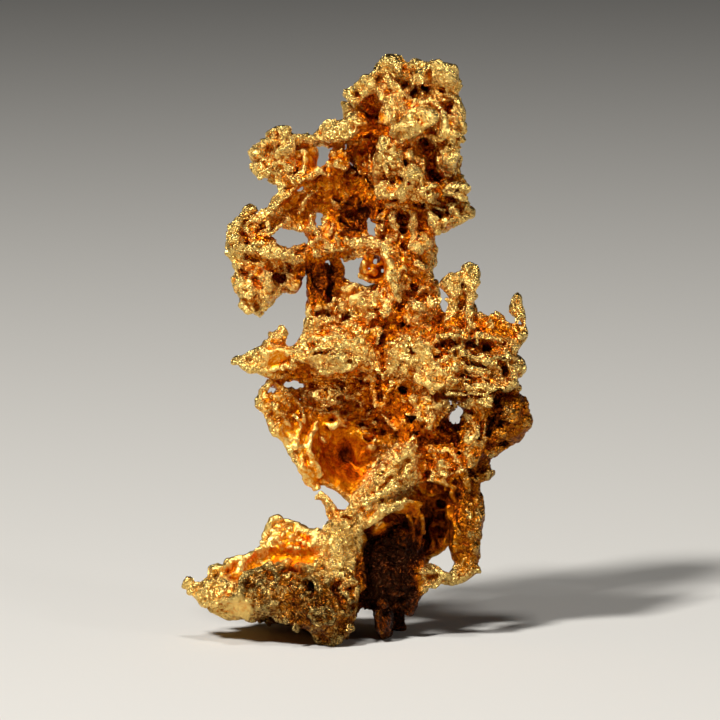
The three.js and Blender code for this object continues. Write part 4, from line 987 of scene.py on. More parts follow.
@dataclass(frozen=True)
class Bowl(Part):
    """Long spur with a striated face, and the hollow leaf and bowl under it."""

    name: str = "bowl"
    sites: Rows = ((-8, 29), (-1, 28), (-5, 24), (-2, 20), (2, 24), (-1, 17))
    habits: Habits = (  # pale spur, painted orange shade below it, where it lies in shadow
        (Habit.NODULAR, -11.6, 27.9, 1.4, 0.2), (Habit.NODULAR, -8.6, 30.2, 1.2, 0.5),
        (Habit.SMOOTH, -8.4, 28.3, 0.9, 0.7), (Habit.STRIATED, -3, 29, 2.6, 0.15),
        (Habit.NODULAR, 2.6, 31, 2, 0.6), (Habit.CRUMPLED, -6.5, 26.4, 1.5, 0.75, 0.1),
        (Habit.ROUGH, -7.6, 23.4, 2.2, 0.8, 0.15), (Habit.CRUMPLED, -3, 24, 2.4, 0.5),
        (Habit.SMOOTH, -6.4, 20.6, 1.5, 0.75), (Habit.ROUGH, -7, 18.4, 1, 0.6),
        (Habit.SMOOTH, -2.8, 21.4, 2, 0.75), (Habit.SMOOTH, -1.4, 17.6, 2, 1.1),
        (Habit.SMOOTH, -4.2, 16.6, 1, 0.9), (Habit.CRUMPLED, 2.6, 23.4, 2.2, 0.7),
    )
    strokes: Strokes = (
        # Tip and grains of the spur, bumps on the leaf's edge and in the bowl
        (knob,
            (-11.5, 27.7, 0.5, 0.6), (-7.8, 31, 0.3, 0.7), (-8.5, 30.4, 0.4, 0.6),
            (-9.3, 29.6, 0.4, 0.6), (-7, 28.7, 0.35, 0.8), (-6.4, 28.1, 0.35, 0.8), (-6, 28.8, 0.35, 0.8),
            (-5.8, 27.9, 0.35, 0.8), (1.6, 30.6, 0.7, 0.6), (3.2, 31.2, 0.6, 0.6), (-9.9, 24.2, 0.35, 0.7),
            (-8.7, 21.4, 0.3, 0.7), (-6.5, 19.2, 0.35, 0.7), (-6.5, 18.2, 0.35, 0.7),
            (-5.4, 16.3, 0.35, 0.7), (-4.4, 15.3, 0.4, 0.6), (-3.9, 20, 0.4, 0.8), (1.3, 19, 0.6, 0.7),
            (1.9, 18.5, 0.5, 0.7),
        ),
        # Stripes and lip of the spur, rims and ragged crests of the bowl
        (ridge,
            (STRIPE, 0.7, -5.1, 30, -3.1, 30.2, -1.1, 30.4), (STRIPE, 0.7, -4.9, 29, -2.3, 29.3, 0.1, 29.9),
            (STRIPE, 0.7, -4.7, 28.2, -2.3, 28.6, 0.1, 29.2),
            (STRIPE, 0.8, -3.7, 27.5, -1.5, 27.9, 0.3, 28.6),
            (THREAD, 0.8, -4.4, 29.6, -2.4, 29.7, -0.4, 30.1), (THREAD, 0.8, -3.2, 28, -1.2, 28.3),
            (RIM, 0.6, -11.5, 27.4, -10.2, 27, -8.4, 27.2, -6.4, 27.5),
            (RIM, 0.8, -3.7, 27, -1.7, 27.2, 0.3, 28.1),
            (0.3, 0.7, -7.5, 20.1, -6.7, 18.8, -5.6, 17.2, -4.6, 15.5),
            (THREAD, 1, -4.9, 25, -4.1, 24.1, -2.9, 24.4, -1.5, 24.7),
            (THREAD, 1, -3.7, 23.5, -2.6, 23.8, -1.5, 23.7),
            (THREAD, 1, -4.3, 22.4, -2.7, 22.7, -1.4, 22.4, -0.9, 23.2, 0.1, 22.8),
            (0.28, 0.9, -4.3, 21.6, -5, 20.2, -5.2, 18.9, -4.7, 17.7, -3.9, 16.5),
            (THREAD, 1, -1.1, 24.3, 0.1, 25, 0.9, 25.6), (0.32, 0.9, 3.1, 25.8, 2.9, 24.8, 2.5, 23.8),
            (0.28, 0.9, 1.7, 27.2, 1.3, 25.4, 1.7, 23.6), (THREAD, 1, -0.7, 22, 0.5, 22.3, 1.7, 21.8),
            (THREAD, 1, -3.4, 21.4, -2.2, 21.7, -1, 21.2), (THREAD, 1, 2.2, 22.6, 3, 21.6, 3.9, 21.2),
            (THREAD, 0.9, -7.8, 24.8, -6.6, 24, -5.8, 23, -5.6, 21.8),
            (THREAD, 0.9, -8.8, 23.6, -7.6, 22.6, -7, 21.4),
        ),
        (strand,
            (0.34, 0.4, -10, 24.2, -9.3, 25.3, -8.9, 26.4), (0.34, 0.3, -8.9, 26.2, -8.3, 25.5, -7.4, 25),
            (0.34, 0.5, -10.1, 24.1, -9.5, 22.8, -8.6, 21.3, -7.9, 20.5),
            (0.34, 0.3, -7.9, 20.5, -6.9, 19, -6, 17.4, -4.9, 15.8),
            (0.5, -0.9, -6.8, 24.6, -5.6, 24.9, -5, 25.4), (0.5, 0.3, -12.2, 28, -11.4, 27.8),
        ),
        (ridge,
            (0.16, 1, -5.6, 23.4, -4.6, 23, -3.8, 23.4, -3, 23),
            (0.16, 1, -4, 25.6, -3.2, 25.2, -2.4, 25.4, -1.6, 25),
            (0.16, 1, -2.4, 22.6, -1.8, 21.9, -0.8, 21.8, 0.2, 21),
            (0.16, 1, 0.4, 24.2, 0, 23.4, 0.6, 22.7, 1.4, 22.8),
            (0.16, 1, 2.4, 26.8, 2.2, 25.6, 2.6, 24.6, 2.2, 23.4),
            (0.16, 1, -6.6, 22.6, -6, 21.4, -6.2, 20.2),
        ),
        # Shade under the spur, dents between the crests, pits
        (groove,
            (0.4, 1.4, -2.5, 26.3, -1.2, 26.3, -0.1, 26.6), (0.25, 1, -4.2, 23.2, -3.2, 23, -2.2, 23.2),
            (0.25, 1, -3.6, 25.2, -2.4, 25.3), (0.25, 1, -0.4, 24, 0.5, 23.4),
            (0.25, 1, -0.2, 25.6, 0.5, 26.6), (0.3, 1.5, -4.6, 19.4, -4.2, 18.4),
            (0.3, 1.2, 0.2, 21.4, 1.2, 20.9, 2.2, 20.6), (0.25, 1, 2.2, 25.6, 2, 24.4),
            (0.22, 1.5, -4.6, 28.6, -2.4, 28.9), (0.22, 1.5, -2.6, 28.2, -0.6, 28.6),
        ),
        (hole, (-7.2, 25.5, 0.42, 0, 6), (-6.4, 25.5, 0.45, 0, 6)),
        (pit,
            (0.7, 20.1, 0.4, 2), (-1.9, 25.9, 0.45, 1.8), (-0.5, 26, 0.25, 1.4), (-2, 22, 0.2, 1.2),
            (-3.2, 22.1, 0.2, 1.2), (-6, 24.4, 0.3, 1.4),
        ),
    )


@dataclass(frozen=True)
class Stand(Part):
    """Diagonal fold, dark block and cave under it, and the lower right column."""

    name: str = "stand"
    sites: Rows = ((4, 16), (3, 8), (8, 11), (11, 14), (4, 2))
    habits: Habits = (  # pale fold; painted dark shade on the block, in the cave and on the grained column
        (Habit.STRIATED, 2.6, 15.8, 2.2, 0.1), (Habit.CRUMPLED, 8.6, 18, 1.6, 0.4),
        (Habit.SMOOTH, 1.9, 11.3, 1, 0.5, 0), (Habit.ROUGH, 2.8, 8.8, 2.8, 1.5, 1.05),
        (Habit.ROUGH, 3, 4.4, 2.4, 1.6, 1.1), (Habit.SMOOTH, 7.2, 12, 2.4, 1.35, 0.5),
        (Habit.ROUGH, 11.8, 12, 2.2, 0.8, 0.75), (Habit.ROUGH, 12.6, 17, 1.6, 0.75, 0.75),
        (Habit.NODULAR, 7.4, 6.2, 1.6, 0.4, 0.4),
    )
    strokes: Strokes = (
        # Lumps over the cave, on the column and along the foot of the block
        (knob,
            (8, 17.4, 0.8, 0.6), (9.8, 17, 0.6, 0.6), (12.7, 16.8, 0.5, 0.5), (11, 10.6, 0.6, 0.5),
            (10.6, 12.6, 0.6, 0.5), (8.6, 9.6, 0.5, 0.6), (2, 11.6, 0.45, 0.7), (5.2, 19.4, 0.6, 0.6),
            (4.4, 4, 0.5, 0.5), (2.2, 3.6, 0.5, 0.5), (11.4, 7.2, 0.5, 0.5),
        ),
        # Parallel folds, edge of the block, arch of the cave and its curtains
        (ridge,
            (0.45, 0.9, 5.6, 20, 4.6, 18.6, 3.6, 17.9), (0.5, 0.8, 3.5, 15.7, 2, 14.6, 0.6, 13.6),
            (RIM, 0.9, 2.2, 17.2, 1, 15.2, -0.4, 12.8),
            (0.28, 1, 5.8, 13.5, 4.4, 14.1, 2.8, 13.2, 0.8, 11.6, -0.4, 10.8),
            (RIM, 0.9, 7, 18.8, 8.2, 19.3, 9.4, 18.7, 10.4, 17.2, 10.6, 15),
            (THREAD, 1, 5, 12.6, 5.2, 11.2, 5.4, 9.8), (THREAD, 1, 7.4, 13, 7.3, 11, 7, 9),
            (THREAD, 1, 6.2, 12.4, 6.3, 10.6), (RIM, 0.8, 9, 13.2, 9.7, 11.6, 9.4, 9),
            (RIM, 0.8, 5.6, 7, 7, 6.8, 8.6, 6.4), (RIM, 0.7, 6.2, 5.4, 7.4, 5.5, 8.2, 6),
            (RIM, 0.7, 9.4, 6, 10.4, 6.3, 11.2, 7), (0.14, 0.9, 0.6, 6.4, 2.6, 6.7, 4.8, 6.5),
            (THREAD, 0.9, 2, 5.5, 4, 5.7, 5.6, 5.5), (THREAD, 0.9, 0.6, 4.2, 3, 4.6, 5.2, 4.9),
            (RIM, 0.8, 0, 10.8, 0.1, 8.2, 0.2, 5.2), (RIM, 0.8, 8.2, 16, 9.2, 15.2, 9.4, 14),
        ),
        # Valleys of the fold, the cave, and the sunk face of the block
        (groove,
            (0.3, 1.3, 4.2, 17, 2.7, 15.9, 1, 14.3), (0.3, 1.3, 3.4, 14.7, 1.8, 13.5, 0.6, 12.4),
            (1, 1.3, 6.3, 14.7, 7.3, 14.9), (0.5, 0.9, 7.8, 14.6, 8.2, 13.6),
            (0.3, 1.2, 1, 9.8, 3, 11.1, 5.6, 12.1), (0.5, 0.8, 6.6, 11.6, 6.4, 8.8),
            (0.4, 0.8, 8.2, 12.4, 8.2, 10.4), (0.4, 1.6, 7, 17.6, 6.6, 16.4),
        ),
        (pit, (4.8, 18, 0.3, 1.6)),
    )


@dataclass(frozen=True)
class Foot(Part):
    """Boat-shaped foot: a smooth trough, a rough outer face, and a stem with a tendril."""

    name: str = "foot"
    sites: Rows = ((-14, 5), (-8, 5), (-4, 3), (-4, 9), (-1.5, 5), (-3.5, 12))
    habits: Habits = (  # warm smooth trough, painted dark shade on the rough outer face, pale tip and stem
        (Habit.NODULAR, -16, 5.2, 1.8, 0.1), (Habit.SMOOTH, -11, 7.6, 2.2, 0.3, 0, -1),
        (Habit.SMOOTH, -6.5, 9, 2.6, 0.4, 0, -1), (Habit.SMOOTH, -7.4, 10.6, 1.6, 0.5, 0, -2),
        (Habit.SMOOTH, -11.6, 3.4, 0.9, 0.1, 0.1), (Habit.ROUGH, -9, 4.4, 2.2, 0.45, 0.8),
        (Habit.ROUGH, -5, 3.2, 2.4, 0.6, 0.95), (Habit.ROUGH, -1.8, 3, 1.8, 0.6, 0.85),
        (Habit.NODULAR, -0.8, 5.4, 1, 0.3, 0.2), (Habit.STRIATED, -2.2, 9.6, 2.2, -0.7),
        (Habit.NODULAR, -3.2, 13.4, 1.2, 0.7),
    )
    strokes: Strokes = (
        # Lumps of the tip, grapes at the back of the trough, bumps of the stem
        (knob,
            (-17.2, 5.7, 0.45, 0.5), (-16.8, 4.9, 0.4, 0.6), (-15, 5.2, 0.9, 0.6), (-15.8, 4.5, 0.5, 0.6),
            (-14.2, 7.1, 0.7, 0.5), (-13.2, 7.5, 0.5, 0.5), (-14.8, 6.7, 0.4, 0.6), (-9.7, 9.7, 0.3, 0.6),
            (-1, 1.4, 0.5, 0.5), (-6.2, 1.6, 0.4, 0.5), (-3.6, 14.3, 0.35, 0.6), (-3, 13.4, 0.4, 0.6),
            (-8.2, 6.2, 0.5, 0.5), (-9.8, 5.6, 0.6, 0.4), (-3, 6.2, 0.6, 0.5), (-7.6, 10.5, 0.34, 0.8),
            (-6.8, 10.1, 0.36, 0.8), (-7.8, 9.5, 0.32, 0.8), (-6, 9.9, 0.32, 0.8), (-7, 9.2, 0.34, 0.8),
            (-8.3, 10.1, 0.3, 0.8), (-5.4, 9.6, 0.32, 0.8), (-6.2, 9.1, 0.3, 0.8), (-8.3, 9.1, 0.3, 0.8),
            (-7.1, 11, 0.3, 0.8),
        ),
        # Upper edge, front rim, ledge of the tip, eye on the face, ring and stem
        (ridge,
            (RIM, 0.6, -13, 7.7, -11, 8.5, -10, 8.9),
            (0.28, 0.7, -5.2, 10.6, -4.2, 10.9), (0.4, 0.8, -12, 4.8, -11.6, 6, -10.6, 7, -9.2, 7.5),
            (0.4, 0.8, -9.2, 7.5, -8.4, 7, -7, 7.9, -6.2, 7.3, -5, 7.2),
            (0.4, 0.8, -5, 7.2, -3.8, 7.7, -2.2, 7.4), (RIM, 0.9, -15.4, 3.8, -14, 4, -12.4, 4.2),
            (0.28, 0.9, -5, 2.6, -4.4, 3.4, -3.2, 3.5, -2.4, 3, -2.8, 2.2, -4, 1.9, -5, 2.6),
            (THREAD, 0.9, -4.2, 2.8, -3.6, 3.1, -3.1, 2.8, -3.6, 2.5),
            (RIM, 0.8, -1, 6.4, -0.2, 5.6, -0.3, 4.3, -1.2, 4, -1.6, 4.9),
            (0.8, 0.8, -1.6, 11.4, -2.5, 9.6, -2.3, 7.6),
        ),
        (strand,
            (0.36, -2.2, -9.6, 9.9, -9.1, 10.7, -8.9, 11.9, -8.3, 12.1),
            (0.5, -2.3, -8.6, 10.2, -8.2, 11.3), (0.3, 1, -4, 14.7, -3.6, 14.1, -3, 13.2, -2.5, 12.2),
            (0.26, 0.8, -4.4, 14.3, -3.7, 14.2),
        ),
        (ridge,
            (THREAD, 0.9, -2.6, 11, -3.1, 9.2, -2.9, 7.8), (THREAD, 0.9, -1.8, 11.2, -2.2, 9.6, -2, 8),
            (THREAD, 0.9, -1.2, 10.8, -1.4, 9.4, -1.3, 8.2), (0.3, 0.6, -3.5, 14.2, -3, 13.2, -2.5, 12.2),
        ),
        # Dish of the trough, pits of the outer face, hole beside the stem
        (groove,
            (0.9, 0.5, -12.4, 6.6, -10.4, 8, -8.6, 8.6), (0.9, 0.5, -7.6, 8.4, -5.6, 8.4, -4.4, 8.8),
            (0.35, 1.6, -2.3, 5.8, -2, 4.6, -1.6, 3.4),
        ),
        (pit,
            (-7.6, 7.1, 0.45, 2), (-9.2, 6.6, 0.3, 1.8), (-5, 5.4, 0.7, 1.8), (-5.6, 6, 0.4, 1.8),
            (-4.4, 4.8, 0.35, 1.6), (-1, 5.1, 0.4, 1.8), (-1.4, 12.3, 0.3, 2), (-14.4, 4.6, 0.25, 1.6),
        ),
    )


PARTS: tuple[Part, ...] = (Crown(), Arm(), Core(), RightMass(), Bowl(), Stand(), Foot())


# ---------------------------------------------------------------------------------------------
# Finish


def add_node(
    tree: bpy.types.NodeTree, kind: str, inputs: dict | None = None, **settings: object
) -> bpy.types.Node:
    """Adds a node.

    Args:
        tree: Tree it goes into.
        kind: Its type, without "ShaderNode".
        inputs: Socket name or index to a value, or to the node or output that feeds it.
        settings: Properties of the node itself.

    Returns:
        The node.
    """
    node = tree.nodes.new("ShaderNode" + kind)
    for key, value in settings.items():
        setattr(node, key, value)
    for key, value in (inputs or {}).items():
        if isinstance(value, bpy.types.Node):
            value = value.outputs[0]
        if isinstance(value, bpy.types.NodeSocket):
            tree.links.new(value, node.inputs[key])
        else:
            node.inputs[key].default_value = value
    return node


def per(width: float) -> float:
    """Scale of a pattern whose cells or waves have the given width in mm."""
    return 1 / (width * MM)


@dataclass(frozen=True)
class NativeGold:
    """Native gold as it grew and weathered out of its rock.

    The skin is satin rather than polished, because it is covered with growth steps and pits a
    tenth of a millimetre across. Faces that stand out are painted pale, and hollows are painted
    deep orange to brown: painted shade, and painted light that meets gold several times there.
    Faces that lie in shadow get a painted dark brown shade over that.
    """

    name: str = "native_gold"
    pale: tuple[float, str] = (0.08, "#FFD67A")  # tone at which the gold has this colour
    gold: tuple[float, str] = (0.34, "#E88B0C")
    # Orange and brown, reached where the tone is high, are painted shade and painted light bounced between
    # gold faces in hollows.
    orange: tuple[float, str] = (0.66, "#C65806")
    brown: tuple[float, str] = (1.0, "#4A1503")
    # Dark brown of the painted shade laid over faces that lie in shadow.
    painted_shade_colour: str = "#2E1A0C"
    painted_shade_thins: tuple[float, float] = (0.35, 0.6)  # grit over which the painted shade thins out
    painted_shade_least: float = 0.6  # share of the painted shade that is left there
    roughness: float = 0.26
    satin: float = 0.3  # how much rougher smooth gold is than crystals
    gloss: float = 0.12  # how far the roughness goes either way
    gloss_over: tuple[float, float] = (0.3, 0.7)  # mottle over which it does
    mottle: float = 1.1  # width of the patches of tone, mm
    mottle_detail: tuple[float, float] = (5.0, 0.7)  # finer octaves, share kept from each to the next
    grit: float = 0.3  # width of a growth step, drawn as coarse as it needs to show, mm
    grit_detail: tuple[float, float] = (3.0, 0.65)
    painted_step_shade: float = 1.0  # how far painted shade darkens the hollows between the growth steps
    blotch: float = 0.7  # how far the patches of tone darken
    relief: float = 0.2  # height of a growth step, mm
    step: float = 0.34  # width of the smallest crystal tips, mm
    step_height: float = 0.5  # height of a tip, in growth steps
    crystal: float = 0.85  # width of the crystals between creases, mm
    crease: float = 0.06  # half width of a crease, mm
    painted_crease_shade: float = 0.3  # how far painted shade darkens a crease
    line_depth: float = 0.45  # depth of a crease, in growth steps
    face: float = 0.5  # width of a crystal face, mm
    small_face: float = 2.3  # how many times smaller the smaller faces are
    tilt: float = 0.26  # how far a crystal face leans out of the skin, as a slope
    swirl: float = 1.6  # how far the faces are drawn out, mm
    swirl_span: float = 1.5  # length of a swirl, mm

    def material(self) -> bpy.types.Material:
        """Builds the nodes.

        Tone runs from pale to brown over the recess and warmth of the skin plus two noises and the
        creases, which paints shade into recesses, creases and the hollows of the grit. The painted
        dark brown shade of faces in shadow is mixed over it, and grit, tips and creases drive the bump.

        Returns:
            The material.
        """
        made = bpy.data.materials.new(self.name)
        made.use_nodes = True
        tree = made.node_tree
        tree.nodes.clear()
        add = partial(add_node, tree)
        tone, painted_shade, crisp = (
            add("Attribute", attribute_name=name).outputs["Fac"] for name in ("tone", "painted_shade", "crisp")
        )
        where = self.swirled(tree)
        mottle, grit = (
            add("TexNoise", {"Vector": where, "Scale": per(width), "Detail": detail, "Roughness": keep})
            for width, (detail, keep) in ((self.mottle, self.mottle_detail), (self.grit, self.grit_detail))
        )
        borders = add(
            "TexVoronoi", {"Vector": where, "Scale": per(self.crystal)}, feature="DISTANCE_TO_EDGE"
        )
        reach = {"From Max": self.crease / self.crystal, "To Min": 1.0, "To Max": 0.0}
        crease = add("MapRange", {"Value": borders.outputs["Distance"], **reach})
        line = add("Math", {0: crease, 1: crisp}, operation="MULTIPLY")
        level = tone
        # Painted shade: the grit's hollows and the creases darken the tone; the mottle varies it at random.
        for source, share in ((mottle, self.blotch), (grit, -self.painted_step_shade), (line, self.painted_crease_shade)):
            level = add("Math", {0: source, 1: share, 2: level}, operation="MULTIPLY_ADD")
        centre = (self.painted_step_shade - self.blotch) / 2  # both noises are about 0.5 on average
        level = add("Math", {0: level, 1: centre}, operation="ADD")
        ramp = add("ValToRGB", {"Fac": level})
        stops = ramp.color_ramp.elements
        ends = (stops[0], stops[1])
        for stop, (place, colour) in zip(ends, (self.pale, self.brown)):
            stop.position, stop.color = place, linear(colour)
        for place, colour in (self.gold, self.orange):
            stops.new(place).color = linear(colour)
        # Painted shade: the dark brown is laid over faces in shadow, thinner where the grit stands high.
        low, high = self.painted_shade_thins
        thins = {"From Min": low, "From Max": high, "To Min": 1.0, "To Max": self.painted_shade_least}
        spots = add("MapRange", {"Value": grit, **thins})
        share = add("Math", {0: painted_shade, 1: spots}, operation="MULTIPLY")
        colours = {6: ramp.outputs["Color"], 7: linear(self.painted_shade_colour)}
        with_painted_shade = add("Mix", {0: share, **colours}, data_type="RGBA")
        low, high = self.gloss_over
        middle = self.roughness + self.satin
        swing = {"To Min": middle - self.gloss, "To Max": middle + self.gloss}
        rough = add("MapRange", {"Value": mottle, "From Min": low, "From Max": high, **swing})
        satin = add("Math", {0: crisp, 1: -self.satin, 2: rough}, operation="MULTIPLY_ADD")
        tips = add("TexVoronoi", {"Vector": where, "Scale": per(self.step)}, distance="MANHATTAN")
        height = grit
        for source, share in ((tips, -self.step_height), (line, -self.line_depth)):
            height = add("Math", {0: source, 1: share, 2: height}, operation="MULTIPLY_ADD")
        bump = add("Bump", {"Height": height, "Distance": self.relief * MM, "Strength": crisp})
        looks = {"Base Color": with_painted_shade.outputs[2], "Roughness": satin}
        faces = self.faceted(tree, where, bump, crisp)
        gold = add("BsdfPrincipled", {"Metallic": 1.0, "Normal": faces, **looks})
        add("OutputMaterial", {"Surface": gold})
        return made

    def swirled(self, tree: bpy.types.NodeTree) -> bpy.types.Node:
        """Moves the coordinates about by a noise, which draws the crystal faces into crinkles.

        Args:
            tree: Tree it goes into.

        Returns:
            Node that gives the moved coordinates.
        """
        where = add_node(tree, "TexCoord").outputs["Object"]
        waves = {"Vector": where, "Scale": per(self.swirl_span), "Detail": 2.0}
        noise = add_node(tree, "TexNoise", waves).outputs["Color"]
        moves = {0: noise, 1: (self.swirl * MM,) * 3, 2: where}
        return add_node(tree, "VectorMath", moves, operation="MULTIPLY_ADD")

    def faceted(
        self,
        tree: bpy.types.NodeTree,
        where: bpy.types.Node,
        normal: bpy.types.Node,
        crisp: bpy.types.NodeSocket,
    ) -> bpy.types.Node:
        """Leans the normal by one random slope over each crystal face, and each smaller face.

        Args:
            tree: Tree it goes into.
            where: Coordinates in metres.
            normal: Normal that is leant.
            crisp: Share of the lean that is kept, less where the gold is smooth.

        Returns:
            The leant normal.
        """
        add = partial(add_node, tree, "VectorMath")
        for width in (self.face, self.face / self.small_face):
            cells = add_node(tree, "TexVoronoi", {"Vector": where, "Scale": per(width)})
            spread = {1: (2 * self.tilt,) * 3, 2: (-self.tilt,) * 3}
            slope = add({0: cells.outputs["Color"], **spread}, operation="MULTIPLY_ADD")
            kept = add({0: slope, 3: crisp}, operation="SCALE")
            leant = add({0: normal, 1: kept}, operation="ADD")
            normal = add({0: leant}, operation="NORMALIZE")
        return normal


# ---------------------------------------------------------------------------------------------
# From the field to the pieces


@dataclass
class Skin:
    """Finished surface: vertices and normals in display mm, quads, and what the finish needs."""

    points: np.ndarray
    quads: np.ndarray
    normals: np.ndarray
    tone: np.ndarray
    painted_shade: np.ndarray
    crisp: np.ndarray

    def split(self, parts: tuple[Part, ...]) -> dict[str, np.ndarray]:
        """Shares the quads out.

        Args:
            parts: Parts with their sites.

        Returns:
            Name to the quads whose middle lies nearest, in (u, v), to a site of that part.
        """
        middles = self.points[self.quads].mean(axis=1)[:, :2]
        sites = np.array([site for part in parts for site in part.sites], float)
        names = np.array([part.name for part in parts for _ in part.sites])
        nearest = ((middles[:, None, :] - sites[None]) ** 2).sum(-1).argmin(1)
        return {part.name: self.quads[names[nearest] == part.name] for part in parts}


def vertex_normals(points: np.ndarray, quads: np.ndarray) -> np.ndarray:
    """Normal of each vertex: the sum of those of its quads, each the cross of its diagonals.

    Args:
        points: Vertices (n, 3).
        quads: Their indices (m, 4).

    Returns:
        Unit normals (n, 3).
    """
    a, b, c, d = (points[quads[:, k]] for k in range(4))
    faces = np.cross(c - a, d - b)
    total = np.zeros_like(points)
    for k in range(4):
        for axis in range(3):
            total[:, axis] += np.bincount(quads[:, k], faces[:, axis], len(points))
    return total / np.maximum(np.linalg.norm(total, axis=1, keepdims=True), 1e-12)


def largest_body(points: np.ndarray, quads: np.ndarray) -> np.ndarray:
    """Drops the crumbs that the relief left loose.

    Each vertex takes the least label found in its quads until none changes; the label that most
    quads hold is the specimen's.

    Args:
        points: Vertices (n, 3).
        quads: Their indices (m, 4).

    Returns:
        Quads of the largest connected body.
    """
    label = np.arange(len(points))
    while True:
        least = label[quads].min(axis=1)
        spread = label.copy()
        for k in range(4):
            np.minimum.at(spread, quads[:, k], least)
        spread = spread[spread]
        if (spread == label).all():
            break
        label = spread
    owner = label[quads[:, 0]]
    names, counts = np.unique(owner, return_counts=True)
    LOG.info("bodies: %d, quads left loose: %d", len(names), len(quads) - counts.max())
    return quads[owner == names[counts.argmax()]]


@dataclass(frozen=True)
class Toning:
    """How the tone of the gold and its crispness follow from its shape and its patches.

    A crevice or hollow is where more than half of the space round a place is gold, so the tone
    rises with the share of gold within a near and within a far spread. That rise is painted shade,
    with the deep orange of light bounced between gold faces painted into the colour.
    """

    near: float = 0.4  # spread within which a crevice shows, mm
    far: float = 1.8  # spread within which a hollow shows, mm
    coarse: int = 3  # every how many grid places the far spread is worked out at
    base: float = 0.06
    # crevice, hollow and warmth raise the tone: painted shade and painted bounced light in recesses and
    # where warmth is set
    crevice: float = 1.1
    hollow: float = 0.9
    warmth: float = 0.72
    slit: float = 1.5  # further painted shade in the narrowest crevices
    slit_from: float = 0.12
    least: float = -0.2
    most: float = 1.2
    smooth: float = 0.6  # how much less crisp smooth gold is
    warm: float = 0.3  # how much less crisp the warmest gold is, where no painted shade covers it
